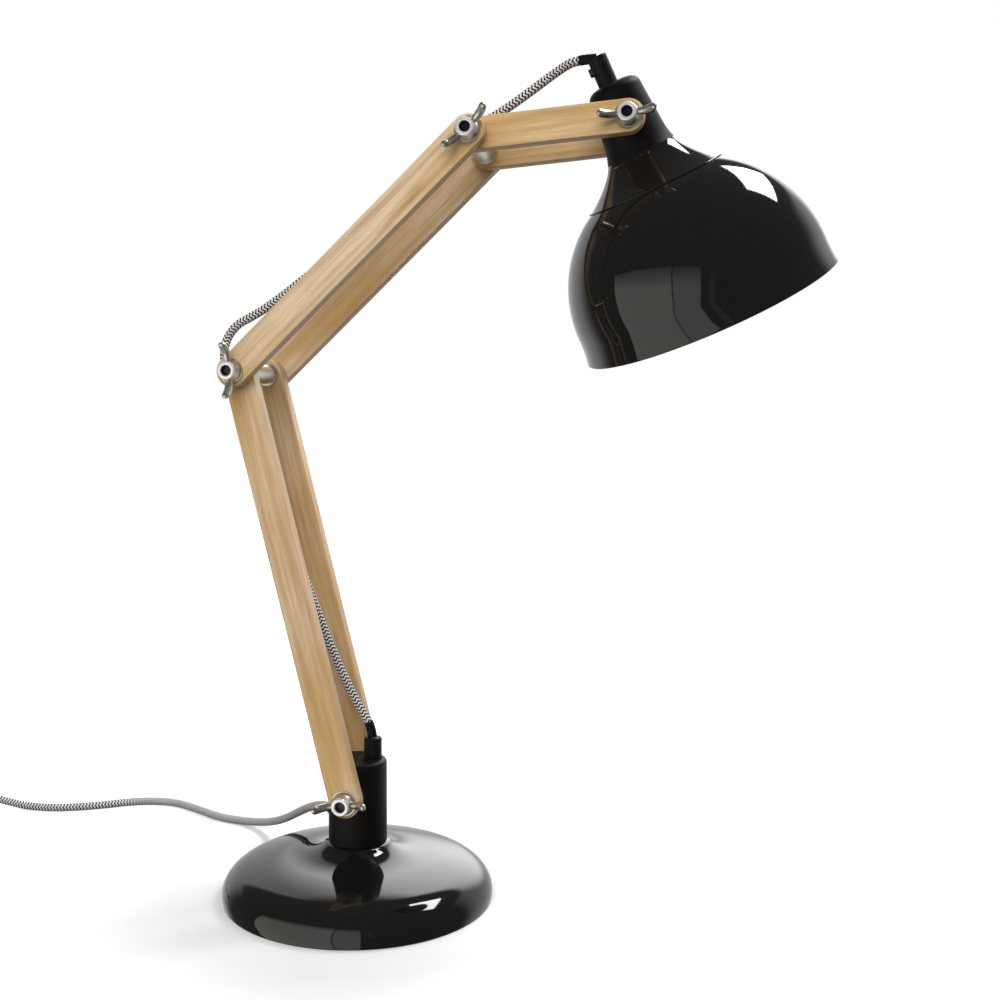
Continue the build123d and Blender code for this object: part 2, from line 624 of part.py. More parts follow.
def bowl_radius(radius, depth):
    """The bowl is part of a sphere down to its widest ring, so this is the circle's half-width there."""
    return math.sqrt(radius**2 - (SHADE_CENTRE - depth) ** 2)


with BuildPart() as shade:
    inner_radius = SHADE_RADIUS - SHADE_WALL
    inner_top = SHADE_TOP + SHADE_WALL
    middle_depth = 74.0
    with BuildSketch(head_section):
        with BuildLine():
            outside = ThreePointArc(
                (bowl_radius(SHADE_RADIUS, SHADE_TOP), SHADE_TOP),
                (bowl_radius(SHADE_RADIUS, middle_depth), middle_depth),
                (SHADE_RADIUS, SHADE_CENTRE),
            )
            skirt = Bezier(
                outside @ 1, (SHADE_RADIUS, SHADE_CENTRE + 6), (RIM_RADIUS - 1.7, RIM_DEPTH - 6), (RIM_RADIUS, RIM_DEPTH)
            )
            rim = Line(skirt @ 1, (RIM_RADIUS - SHADE_WALL, RIM_DEPTH))
            inner_skirt = Bezier(
                rim @ 1, (RIM_RADIUS - SHADE_WALL - 1.7, RIM_DEPTH - 6), (inner_radius, SHADE_CENTRE + 6),
                (inner_radius, SHADE_CENTRE),
            )
            inside = ThreePointArc(
                inner_skirt @ 1,
                (bowl_radius(inner_radius, middle_depth), middle_depth),
                (bowl_radius(inner_radius, inner_top), inner_top),
            )
            shelf = Line(inside @ 1, (38.0, inner_top))
            shelf_edge = Line(shelf @ 1, (38.0, SHADE_TOP))
            Line(shelf_edge @ 1, outside @ 0)
        make_face()
    revolve(axis=head_turn)
write(shade, "shade")

HOLDER_TOP = 9.0
HOLDER_MOUTH = 47.0
HOLDER_BORE_TOP = 21.0

with BuildPart() as lampholder:
    with BuildSketch(head_section):
        with BuildLine():
            Polyline(
                (0, HOLDER_TOP), (14.0, HOLDER_TOP), (19.2, HOLDER_TOP + 2.5), (19.2, COVER_END - RUNNING_GAP),
                (18.0, COVER_END - RUNNING_GAP), (18.0, HOLDER_MOUTH), (14.2, HOLDER_MOUTH),
                (14.2, HOLDER_BORE_TOP), (0, HOLDER_BORE_TOP), close=True,
            )
        make_face()
    revolve(axis=head_turn)
write(lampholder, "lampholder")

with BuildPart() as shade_ring:
    ring_top = COVER_END + FLANGE_THICKNESS
    with BuildSketch(head_section):
        with BuildLine():
            Polyline(
                (18.05, ring_top), (21.2, ring_top), (22.2, ring_top + 4), (22.2, ring_top + 7), (18.05, ring_top + 7),
                close=True,
            )
        make_face()
    revolve(axis=head_turn)
write(shade_ring, "shade_ring")

BULB_CAP_TOP = 22.5
BULB_RADIUS = 27.5
BULB_CENTRE = 79.0
BULB_END = BULB_CENTRE + BULB_RADIUS
GLASS_WALL = 1.0
CAP_RADIUS = 13.1

with BuildPart() as socket_contact:
    with BuildSketch(head_plane(HOLDER_BORE_TOP)):
        Rectangle(12, 5)
    extrude(amount=BULB_CAP_TOP - HOLDER_BORE_TOP)
write(socket_contact, "socket_contact")

with BuildPart() as bulb_cap:
    with BuildSketch(head_section):
        with BuildLine():
            Polyline(
                (0, BULB_CAP_TOP), (4.5, BULB_CAP_TOP), (6.5, BULB_CAP_TOP + 2), (11.5, BULB_CAP_TOP + 4),
                (CAP_RADIUS, BULB_CAP_TOP + 6), (CAP_RADIUS, HOLDER_MOUTH), (0, HOLDER_MOUTH), close=True,
            )
        make_face()
    revolve(axis=head_turn)
write(bulb_cap, "bulb_cap")

with BuildPart() as bulb_glass:
    with BuildSketch(head_section):
        with BuildLine():
            shoulder = Bezier(
                (CAP_RADIUS, HOLDER_MOUTH), (13.4, 56.0), (BULB_RADIUS, 64.0), (BULB_RADIUS, BULB_CENTRE)
            )
            crown = ThreePointArc(
                shoulder @ 1, (BULB_RADIUS * math.sqrt(0.5), BULB_CENTRE + BULB_RADIUS * math.sqrt(0.5)), (0, BULB_END)
            )
            tip = Line(crown @ 1, (0, BULB_END - GLASS_WALL))
            inner_glass = BULB_RADIUS - GLASS_WALL
            inner_crown = ThreePointArc(
                tip @ 1, (inner_glass * math.sqrt(0.5), BULB_CENTRE + inner_glass * math.sqrt(0.5)),
                (inner_glass, BULB_CENTRE),
            )
            inner_shoulder = Bezier(
                inner_crown @ 1, (inner_glass, 64.6), (12.4, 56.4), (CAP_RADIUS - GLASS_WALL, HOLDER_MOUTH)
            )
            Line(inner_shoulder @ 1, shoulder @ 0)
        make_face()
    revolve(axis=head_turn)
write(bulb_glass, "bulb_glass")


# Cords

def cord_tube(name, points):
    """A round cord along straight runs joined by tangent arcs, each as large as its two runs allow."""
    corners = [Vector(*p) for p in points]
    radii = []
    for before, here, after in zip(corners, corners[1:], corners[2:]):
        turn = (here - before).get_angle(after - here)
        shorter = min((here - before).length, (after - here).length)
        radii.append(0.45 * shorter / math.tan(math.radians(turn / 2)))
    with BuildPart() as cord:
        with BuildLine():
            route = FilletPolyline(*points, radius=radii)
        with BuildSketch(Plane(origin=route @ 0, z_dir=route % 0)):
            Circle(CORD_RADIUS)
        sweep()
    wanted = math.pi * CORD_RADIUS**2 * route.length
    print(f"{name}: {route.length:.0f} mm, radii", " ".join(f"{r:.0f}" for r in radii),
          f"volume {cord.part.volume / wanted:.4f} of section times length")
    return cord


def in_plane(place, y):
    """Puts a point of the arm's plane at the given distance behind the middle."""
    return (place[0], y, place[1])


def beyond(first, second, share):
    """A point straight on past the second one, by a share of the distance between them."""
    return tuple(b + share * (b - a) for a, b in zip(first, second))


def beside_lower(along, side, y):
    """A cord point beside the lower arm's centre line."""
    return in_plane(on_arm(BASE_PIVOT, LOWER_ANGLE, along, side), y)


def beside_upper(along, side, y):
    """A cord point beside the upper arm's centre line."""
    return in_plane(on_arm(ELBOW_ONE, UPPER_ANGLE, along, side), y)


def from_elbow_one(dx, dz):
    """A cord point measured from the first elbow."""
    return (ELBOW_ONE[0] + dx, 0.0, ELBOW_ONE[1] + dz)


def from_elbow_two(dx, y, dz):
    """A cord point measured from the second elbow."""
    return (ELBOW_TWO[0] + dx, y, ELBOW_TWO[1] + dz)


# The arm cord is one lead, in four lengths that meet in the middle of each arm.
lower_last = beside_lower(164, -2.6, 0.5)
lower_meeting = beside_lower(200, -5.2, 0.2)
upper_last = beside_upper(106, -15.5, 0.0)
upper_meeting = beside_upper(136, -13.2, 0.0)
head_last = from_elbow_two(27.5, -1.4, 28.8)
head_meeting = from_elbow_two(46.0, -3.2, 41.0)

arm_cord_base = [
    (STEM_GLAND_PLACE[0], STEM_GLAND_PLACE[1], 104.5), (STEM_GLAND_PLACE[0], STEM_GLAND_PLACE[1], 116.2),
    (1.0, 3.4, 130.8), (-9.0, 2.6, 149.4), (-18.6, 1.8, 170.8), (-29.4, 1.0, 197.6),
    lower_last, lower_meeting,
]
arm_cord_elbow_one = [
    lower_meeting, beyond(lower_last, lower_meeting, 0.9), from_elbow_one(0.5, -41.0),
    from_elbow_one(-11.0, -20.5), from_elbow_one(-21.0, -1.0), from_elbow_one(-24.4, 18.0),
    from_elbow_one(-15.6, 34.0), from_elbow_one(1.0, 41.6), from_elbow_one(20.5, 54.0),
    from_elbow_one(42.5, 70.6), upper_last, upper_meeting,
]
arm_cord_elbow_two = [
    upper_meeting, beyond(upper_last, upper_meeting, 0.95), beside_upper(194, -11.6, 0.0),
    beside_upper(222, -12.4, 0.0), from_elbow_two(13.0, -0.3, 20.4), head_last, head_meeting,
]
arm_cord_head = [
    head_meeting, beyond(head_last, head_meeting, 0.5), (cord_end.X - 13.5, cord_end.Y, cord_end.Z),
    (cord_end.X, cord_end.Y, cord_end.Z),
]

for name, points in (
    ("arm_cord_base", arm_cord_base), ("arm_cord_elbow_one", arm_cord_elbow_one),
    ("arm_cord_elbow_two", arm_cord_elbow_two), ("arm_cord_head", arm_cord_head),
):
    write(cord_tube(name, points), name)

# The mains cord droops from the side gland over the base to the table, and waves along it to the switch.
gland_start = side_gland_direction * (SIDE_GLAND_REACH - 6)
gland_end = side_gland_direction * (SIDE_GLAND_REACH + 9)
SWITCH_AXIS_HEIGHT = 8.5
SWITCH_BACK = SWITCH_FRONT - SWITCH_LENGTH
mains_cord = [
    (gland_start.X, gland_start.Y, SIDE_GLAND_HEIGHT), (gland_end.X, gland_end.Y, SIDE_GLAND_HEIGHT),
    (-47.5, 42.0, 45.5), (-62, 58, 35.5), (-80, 80, 22.0),
    (-101, 104.0, 9.6), (-126, 120.0, CORD_ON_TABLE), (-153, 125.5, CORD_ON_TABLE),
    (-179, 142, CORD_ON_TABLE), (-208, 157, CORD_ON_TABLE), (-238, 153, CORD_ON_TABLE),
    (-265, 135, CORD_ON_TABLE), (-294, 121.5, CORD_ON_TABLE), (-322, 119.4, CORD_ON_TABLE + 0.1),
    (-340, SWITCH_Y, 5.4), (SWITCH_FRONT + 12, SWITCH_Y, SWITCH_AXIS_HEIGHT),
    (SWITCH_FRONT, SWITCH_Y, SWITCH_AXIS_HEIGHT),
]
write(cord_tube("mains_cord", mains_cord), "mains_cord")

# Past the switch the lead turns back to the coil, and a short one runs from the coil to the plug.
COIL_END_RUN = 2 * CORD_RADIUS
COIL_LAYER = COIL_PITCH
coil_start = (COIL_CENTRE[0] - COIL_END_RUN, COIL_CENTRE[1] - COIL_OUTER_RADIUS, CORD_ON_TABLE)
coil_end = (COIL_CENTRE[0] - COIL_END_RUN, COIL_CENTRE[1] + COIL_OUTER_RADIUS, CORD_ON_TABLE + COIL_LAYER)
coil_lead = [
    (SWITCH_BACK, SWITCH_Y, SWITCH_AXIS_HEIGHT), (SWITCH_BACK - 12, SWITCH_Y, SWITCH_AXIS_HEIGHT),
    (SWITCH_BACK - 29, SWITCH_Y - 2, 5.2), (SWITCH_BACK - 47, SWITCH_Y - 11, CORD_ON_TABLE),
    (SWITCH_BACK - 61, SWITCH_Y - 32, CORD_ON_TABLE), (SWITCH_BACK - 65, SWITCH_Y - 62, CORD_ON_TABLE),
    (SWITCH_BACK - 59, SWITCH_Y - 93, CORD_ON_TABLE), (SWITCH_BACK - 43, SWITCH_Y - 121, CORD_ON_TABLE),
    (SWITCH_BACK - 17, SWITCH_Y - 144, CORD_ON_TABLE), (SWITCH_BACK + 15, SWITCH_Y - 161, CORD_ON_TABLE),
    (-392, -54.5, CORD_ON_TABLE), (-360, coil_start[1], CORD_ON_TABLE), coil_start,
]
plug_lead = [
    coil_end, (coil_end[0] - 11.8, coil_end[1], coil_end[2]), (coil_end[0] - 28, coil_end[1] + 2.2, 8.4),
    (PLUG_TIP[0] + 12, PLUG_TIP[1], PLUG_AXIS_HEIGHT), (PLUG_TIP[0], PLUG_TIP[1], PLUG_AXIS_HEIGHT),
]
coil_lead_tube = cord_tube("coil_lead", coil_lead)
plug_lead_tube = cord_tube("plug_lead", plug_lead)
with BuildPart() as mains_cord_leads:
    add(coil_lead_tube.part)
    add(plug_lead_tube.part)
write(mains_cord_leads, "mains_cord_leads")

# The put-away length is one tube: two turns spiral in, half a turn climbs, two turns spiral out on top.
COIL_TURNS = 2 * COIL_TURNS_PER_LAYER + 0.5
COIL_START_ANGLE = 270.0
STEPS_PER_TURN = 4


def coil_point(turn):
    """The coil's centre line after so many turns: radius falls to mid-climb, then grows at the same rate."""
    inward = min(turn, COIL_TURNS - turn)
    radius = COIL_OUTER_RADIUS - COIL_PITCH * inward
    climbed = min(max((turn - COIL_TURNS_PER_LAYER) / 0.5, 0.0), 1.0)
    height = CORD_ON_TABLE + COIL_LAYER * (1 - math.cos(math.pi * climbed)) / 2
    angle = math.radians(COIL_START_ANGLE + 360 * turn)
    return Vector(COIL_CENTRE[0] + radius * math.cos(angle), COIL_CENTRE[1] + radius * math.sin(angle), height)


def coil_tangent(turn):
    """The direction of the coil's centre line, square to the leads at its two ends."""
    if turn in (0.0, COIL_TURNS):
        return Vector(1 if turn == 0.0 else -1, 0, 0)
    return (coil_point(turn + 0.01) - coil_point(turn - 0.01)).normalized()


def biarc(start, start_tangent, end, end_tangent):
    """Two arcs from start to end that keep both tangents: their meeting point halves the turn evenly."""
    chord = end - start
    tangents = start_tangent + end_tangent
    bend = 2 * (1 - start_tangent.dot(end_tangent))
    along = chord.dot(tangents)
    reach = (math.sqrt(along**2 + bend * chord.dot(chord)) - along) / bend
    meeting = (start + end + (start_tangent - end_tangent) * reach) * 0.5
    first = TangentArc(start, meeting, tangent=start_tangent)
    TangentArc(meeting, end, tangent=first % 1)


with BuildPart() as mains_coil:
    with BuildLine() as coil_route:
        Line(coil_start, coil_point(0.0))
        for step in range(round(COIL_TURNS * STEPS_PER_TURN)):
            here, there = step / STEPS_PER_TURN, (step + 1) / STEPS_PER_TURN
            biarc(coil_point(here), coil_tangent(here), coil_point(there), coil_tangent(there))
        Line(coil_point(COIL_TURNS), coil_end)
    with BuildSketch(Plane(origin=coil_start, z_dir=(1, 0, 0))):
        Circle(CORD_RADIUS)
    sweep()
write(mains_coil, "mains_coil")

COIL_SAMPLES = 900
coil_samples = [coil_point(COIL_TURNS * i / COIL_SAMPLES) for i in range(COIL_SAMPLES + 1)]
quarter_turn = round(COIL_SAMPLES / COIL_TURNS / 4)
least_gap = min(
    (a - b).length for i, a in enumerate(coil_samples) for b in coil_samples[i + quarter_turn:]
) - 2 * CORD_RADIUS
coil_length = sum(edge.length for edge in coil_route.edges())
coil_share = mains_coil.part.volume / (math.pi * CORD_RADIUS**2 * coil_length)
print(f"mains_coil: {coil_length:.0f} mm, volume {coil_share:.4f} of section times length, "
      f"least gap between turns {least_gap:.2f} mm")

# In-line switch: two housing halves, a rocker on trunnions, contact strips and two screws

switch_middle = ((SWITCH_FRONT + SWITCH_BACK) / 2, SWITCH_Y)
SWITCH_SHELL = 1.9
BOSS_RADIUS = 3.0
BOSS_SPACING = 48.0
ROCKER_SIZE = (17.0, 11.0)
ROCKER_OPENING = (19.8, 12.0)
ROCKER_AXIS_HEIGHT = 13.0
TRUNNION_RADIUS = 1.5
RIB_INNER = 6.3
RIB_OUTER = 8.3


def switch_outline():
    """The switch's plan: a long rounded body that narrows to blunt noses where the cord goes in."""
    half_length, half_width, nose = SWITCH_LENGTH / 2, SWITCH_WIDTH / 2, 6.0
    with BuildSketch() as outline:
        with BuildLine():
            side = Bezier(
                (half_length, nose), (half_length - 15, nose), (half_length - 15, half_width), (0, half_width)
            )
            Line((half_length, 0), side @ 0)
            Line(side @ 1, (0, 0))
            Line((0, 0), (half_length, 0))
        make_face()
        mirror(about=Plane.YZ)
        mirror(about=Plane.XZ)
        corners = outline.vertices().group_by(Axis.X)
        fillet(corners[0] + corners[-1], 3.0)
    return outline.sketch


switch_plan = switch_outline()


def switch_plane(height):
    """A level plane through the middle of the switch."""
    return Plane(origin=(switch_middle[0], switch_middle[1], height))


with BuildPart() as switch_base:
    with BuildSketch(switch_plane(0)):
        add(switch_plan)
    extrude(amount=SWITCH_SPLIT)
    chamfer(switch_base.edges().group_by(Axis.Z)[0], 1.2)
    with BuildSketch(switch_plane(SWITCH_SHELL)):
        RectangleRounded(SWITCH_LENGTH - 16, SWITCH_WIDTH - 2 * SWITCH_SHELL - 2, 7)
    extrude(amount=SWITCH_SPLIT, mode=Mode.SUBTRACT)
    with BuildSketch(switch_plane(SWITCH_SHELL)):
        with GridLocations(BOSS_SPACING, 1, 2, 1):
            Circle(BOSS_RADIUS)
    extrude(amount=SWITCH_SPLIT - SWITCH_SHELL)
    with BuildSketch(switch_plane(0)):
        with GridLocations(BOSS_SPACING, 1, 2, 1):
            Circle(1.3)
    extrude(amount=SWITCH_SPLIT, mode=Mode.SUBTRACT)
    with BuildSketch(switch_plane(0)):
        with GridLocations(BOSS_SPACING, 1, 2, 1):
            Circle(2.3)
    extrude(amount=1.4, mode=Mode.SUBTRACT)
write(switch_base, "switch_base")

with BuildPart() as switch_cover:
    with BuildSketch(switch_plane(SWITCH_SPLIT)):
        add(switch_plan)
    extrude(amount=SWITCH_HEIGHT - SWITCH_SPLIT)
    chamfer(switch_cover.edges().group_by(Axis.Z)[-1], 1.8)
    with BuildSketch(switch_plane(SWITCH_SPLIT)):
        RectangleRounded(SWITCH_LENGTH - 16, SWITCH_WIDTH - 2 * SWITCH_SHELL - 2, 7)
    extrude(amount=SWITCH_HEIGHT - SWITCH_SPLIT - SWITCH_SHELL, mode=Mode.SUBTRACT)
    with BuildSketch(switch_plane(SWITCH_SPLIT)):
        with GridLocations(1, RIB_INNER + RIB_OUTER, 1, 2):
            Rectangle(7, RIB_OUTER - RIB_INNER)
        with GridLocations(BOSS_SPACING, 1, 2, 1):
            Circle(BOSS_RADIUS)
    extrude(amount=SWITCH_HEIGHT - SWITCH_SPLIT - SWITCH_SHELL)
    with BuildSketch(switch_plane(SWITCH_SPLIT)):
        with GridLocations(BOSS_SPACING, 1, 2, 1):
            Circle(1.25)
    extrude(amount=5, mode=Mode.SUBTRACT)
    with BuildSketch(switch_plane(SWITCH_SPLIT)):
        Rectangle(*ROCKER_OPENING)
    extrude(amount=SWITCH_HEIGHT, mode=Mode.SUBTRACT)
    with BuildSketch(Plane.XZ.offset(-SWITCH_Y)):
        with Locations((switch_middle[0], ROCKER_AXIS_HEIGHT)):
            Circle(TRUNNION_RADIUS + 0.06)
    extrude(amount=RIB_OUTER, both=True, mode=Mode.SUBTRACT)
write(switch_cover, "switch_cover")

# The rocker is drawn level and then turned to the off side, where it rests.
with BuildPart() as level_rocker:
    with BuildSketch(Plane.XZ.offset(-SWITCH_Y)):
        with BuildLine():
            half = ROCKER_SIZE[0] / 2
            dish = ThreePointArc(
                (switch_middle[0] - half, ROCKER_AXIS_HEIGHT + 6.4), (switch_middle[0], ROCKER_AXIS_HEIGHT + 4.6),
                (switch_middle[0] + half, ROCKER_AXIS_HEIGHT + 6.4),
            )
            drop = Line(dish @ 1, (switch_middle[0] + half, ROCKER_AXIS_HEIGHT + 0.5))
            belly = ThreePointArc(
                drop @ 1, (switch_middle[0], ROCKER_AXIS_HEIGHT - 2.6), (switch_middle[0] - half, ROCKER_AXIS_HEIGHT + 0.5)
            )
            Line(belly @ 1, dish @ 0)
        make_face()
    extrude(amount=ROCKER_SIZE[1] / 2, both=True)
    fillet(level_rocker.edges().filter_by(Axis.Y).group_by(Axis.Z)[-1], 0.7)
    with BuildSketch(Plane.XZ.offset(-SWITCH_Y)):
        with Locations((switch_middle[0], ROCKER_AXIS_HEIGHT)):
            Circle(TRUNNION_RADIUS)
    extrude(amount=RIB_OUTER - 0.2, both=True)

rocker_axis = Axis((switch_middle[0], SWITCH_Y, ROCKER_AXIS_HEIGHT), (0, 1, 0))
with BuildPart() as switch_rocker:
    add(level_rocker.part.rotate(rocker_axis, -ROCKER_TILT))
write(switch_rocker, "switch_rocker")

with BuildPart() as switch_contacts:
    with BuildSketch(switch_plane(SWITCH_SHELL)):
        with GridLocations(26, 1, 2, 1):
            Rectangle(12, 5)
    extrude(amount=2.4)
write(switch_contacts, "switch_contacts")

with BuildPart() as switch_screws:
    with BuildSketch(switch_plane(0.2)):
        with GridLocations(BOSS_SPACING, 1, 2, 1):
            Circle(2.2)
    extrude(amount=1.2)
    with BuildSketch(switch_plane(0.2)):
        with GridLocations(BOSS_SPACING, 1, 2, 1):
            Circle(1.2)
    extrude(amount=12.5)
write(switch_screws, "switch_screws")

# Plug: a flat two-pin body that narrows into its strain relief

RELIEF_LENGTH = 24.0
PLUG_BODY_LENGTH = 34.0
plug_back = PLUG_TIP[0] - RELIEF_LENGTH
plug_face = plug_back - PLUG_BODY_LENGTH


def plug_plane(x):
    """A plane across the plug, facing away from its cord."""
    return Plane(origin=(x, PLUG_TIP[1], PLUG_AXIS_HEIGHT), x_dir=(0, 1, 0), z_dir=(-1, 0, 0))


with BuildPart() as plug_body:
    with BuildSketch(plug_plane(PLUG_TIP[0])):
        Circle(CORD_RADIUS + 1.0)
    with BuildSketch(plug_plane(plug_back)):
        Circle(5.6)
    loft()
    with BuildSketch(plug_plane(plug_back)):
        RectangleRounded(12.5, 11.4, 5.0)
    with BuildSketch(plug_plane(plug_back - 12)):
        RectangleRounded(28.0, 13.0, 6.0)
    with BuildSketch(plug_plane(plug_face)):
        RectangleRounded(35.3, 13.7, 6.5)
    loft()
write(plug_body, "plug_body")

with BuildPart() as plug_pins:
    with BuildSketch(plug_plane(plug_face)):
        with GridLocations(PIN_SPACING, 1, 2, 1):
            Circle(PIN_RADIUS)
    extrude(amount=PIN_LENGTH)
    fillet(plug_pins.edges().group_by(Axis.X)[0], 1.2)
write(plug_pins, "plug_pins")
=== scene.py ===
"""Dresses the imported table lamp: enamel, wood, zinc, braided cord, a plain studio and the camera.

Sizes are in millimetres, like the part's source, and a mesh is scaled to metres when it is written.
The origin is the centre of the base's underside, +Z is up, and the wing nuts face -Y.
"""

import json
import logging
import math
from dataclasses import dataclass
from enum import Enum
from functools import cached_property
from typing import Any, Protocol, Sequence

import bmesh
import bpy
import numpy as np
from mathutils import Matrix, Vector

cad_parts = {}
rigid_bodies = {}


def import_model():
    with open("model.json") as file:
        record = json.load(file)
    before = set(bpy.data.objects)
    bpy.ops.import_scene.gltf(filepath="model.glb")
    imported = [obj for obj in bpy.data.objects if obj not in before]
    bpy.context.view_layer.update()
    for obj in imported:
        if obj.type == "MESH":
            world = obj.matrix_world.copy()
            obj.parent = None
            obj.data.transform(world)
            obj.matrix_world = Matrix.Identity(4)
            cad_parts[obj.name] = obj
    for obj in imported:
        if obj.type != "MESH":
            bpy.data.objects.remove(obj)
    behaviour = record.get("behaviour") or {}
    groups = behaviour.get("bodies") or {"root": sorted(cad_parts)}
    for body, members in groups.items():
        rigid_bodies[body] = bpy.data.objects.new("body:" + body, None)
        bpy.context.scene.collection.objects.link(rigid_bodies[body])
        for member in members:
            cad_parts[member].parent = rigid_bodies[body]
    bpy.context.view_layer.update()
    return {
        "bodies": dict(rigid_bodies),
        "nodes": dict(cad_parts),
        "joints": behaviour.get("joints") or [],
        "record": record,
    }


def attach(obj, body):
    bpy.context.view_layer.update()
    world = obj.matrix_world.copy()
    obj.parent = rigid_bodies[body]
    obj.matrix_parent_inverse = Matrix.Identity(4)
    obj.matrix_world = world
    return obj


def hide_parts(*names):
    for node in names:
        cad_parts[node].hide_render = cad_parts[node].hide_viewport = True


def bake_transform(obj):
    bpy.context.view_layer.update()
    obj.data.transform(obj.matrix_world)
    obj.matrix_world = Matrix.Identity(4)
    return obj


LOG = logging.getLogger("table_lamp")
MM = 0.001

Pair = tuple[float, float]
Point = tuple[float, float, float]
Colour = tuple[float, float, float]

ACROSS_ARMS = (0.0, 1.0, 0.0)
UP = (0.0, 0.0, 1.0)

# The angles in degrees above which an edge is kept sharp, on smooth walls and on threads and cords
SHARP = 50.0
SHARP_FINE = 60.0

# How near two profile points count as one, in millimetres, and how near mesh points and edges do, in metres
SAME_POINT = 1e-6
MERGED = 1e-7
COLLAPSED = 1e-8

# Where most of a noise texture's values lie
NOISE_RANGE = (0.3, 0.7)


class Body(Enum):
    """The CAD bodies that the new pieces ride on."""

    BASE = "base"
    LOWER_ARM = "lower_arm"
    UPPER_ARM = "upper_arm"
    HEAD_ARM = "head_arm"
    HEAD = "head"
    BASE_NUT = "base_nut"
    ELBOW_ONE_NUT = "elbow_one_nut"
    ELBOW_TWO_NUT = "elbow_two_nut"
    HEAD_NUT = "head_nut"


class Slot(Enum):
    """The record's material slots, which each new piece is passed along with."""

    GLOSS = "gloss_black"
    FITTINGS = "black_fittings"
    ZINC = "zinc_steel"
    CORD = "textile_cord"
    CAP = "cap_metal"
    GLASS = "bulb_glass"


# Materials


class Nodes:
    """The node tree of a material or the world, emptied and then built up node by node."""

    def __init__(self, owner: bpy.types.Material | bpy.types.World) -> None:
        """Empties the tree.

        Args:
            owner: the material or world that the tree belongs to.
        """
        owner.use_nodes = True
        self.tree = owner.node_tree
        self.tree.nodes.clear()

    def add(self, kind: str, inputs: dict[Any, Any] | None = None, **settings: Any) -> bpy.types.Node:
        """Adds one node.

        Args:
            kind: the node's type without its ShaderNode prefix.
            inputs: what goes into each socket, a value or another node's output.
            settings: the node's own properties.

        Returns:
            The new node.
        """
        node = self.tree.nodes.new("ShaderNode" + kind)
        for key, value in settings.items():
            setattr(node, key, value)
        for key, value in (inputs or {}).items():
            if isinstance(value, bpy.types.NodeSocket):
                self.tree.links.new(value, node.inputs[key])
            else:
                node.inputs[key].default_value = value
        return node

    def math(self, operation: str, *values: Any) -> bpy.types.NodeSocket:
        """Adds a Math node and returns its result."""
        return self.add("Math", dict(enumerate(values)), operation=operation).outputs[0]

    def span(self, value: Any, low: float, high: float, to_low: float, to_high: float,
             smooth: bool = False) -> bpy.types.NodeSocket:
        """Carries the range low to high over to another range, and holds it at the ends."""
        return self.add(
            "MapRange", {0: value, 1: low, 2: high, 3: to_low, 4: to_high},
            interpolation_type="SMOOTHSTEP" if smooth else "LINEAR",
        ).outputs[0]


class NodeSheet(Nodes):
    """The node tree of one new material, which ends in a Principled shader."""

    def __init__(self, name: str) -> None:
        """Makes the material and its shader.

        Args:
            name: the material's name.
        """
        self.material = bpy.data.materials.new(name)
        super().__init__(self.material)
        self.shader = self.add("BsdfPrincipled")
        self.add("OutputMaterial", {"Surface": self.shader.outputs["BSDF"]})

    def set_shader(self, **values: Any) -> None:
        """Sets the shader's own sockets, named in lower case with underscores."""
        for key, value in values.items():
            self.shader.inputs[key.replace("_", " ").title().replace("Ior", "IOR")].default_value = value

    def to_shader(self, output: bpy.types.NodeSocket, socket: str) -> None:
        """Joins an output to one of the shader's sockets."""
        self.tree.links.new(output, self.shader.inputs[socket])

    def place(self, start: Point = (0, 0, 0), turn: Point = (0, 0, 0), scale: Point = (1, 1, 1)) -> Any:
        """Object coordinates from a start, in a turned frame, each axis multiplied by its scale.

        Args:
            start: the frame's origin in metres.
            turn: the frame's rotation in radians.
            scale: how many pattern units there are in a metre, along each turned axis.

        Returns:
            The vector's socket.
        """
        source = self.add("TexCoord").outputs["Object"]
        turned = self.add(
            "Mapping", {"Vector": source, "Location": start, "Rotation": turn}, vector_type="TEXTURE"
        )
        return self.add("Mapping", {"Vector": turned.outputs[0], "Scale": scale}).outputs[0]

    def noise(self, vector: Any, scale: float, detail: float = 4.0, roughness: float = 0.55) -> Any:
        """Adds a Noise texture and returns its factor."""
        inputs = {"Vector": vector, "Scale": scale, "Detail": detail, "Roughness": roughness}
        return self.add("TexNoise", inputs).outputs[0]

    def mix(self, factor: Any, first: Any, second: Any) -> Any:
        """Mixes two colours, each a socket or three numbers, and returns the colour socket."""
        colours = [c if isinstance(c, bpy.types.NodeSocket) else (*c, 1.0) for c in (first, second)]
        return self.add("Mix", {0: factor, 6: colours[0], 7: colours[1]}, data_type="RGBA").outputs[2]

    def bump(self, height: Any, distance: float) -> None:
        """Adds a Bump node of that distance in metres and joins it to the shader's normal."""
        raised = self.add("Bump", {"Height": height, "Distance": distance, "Strength": 1.0})
        self.to_shader(raised.outputs[0], "Normal")


class Finish(Protocol):
    """Anything that makes one material."""

    def build(self) -> bpy.types.Material:
        """Returns the finished material."""


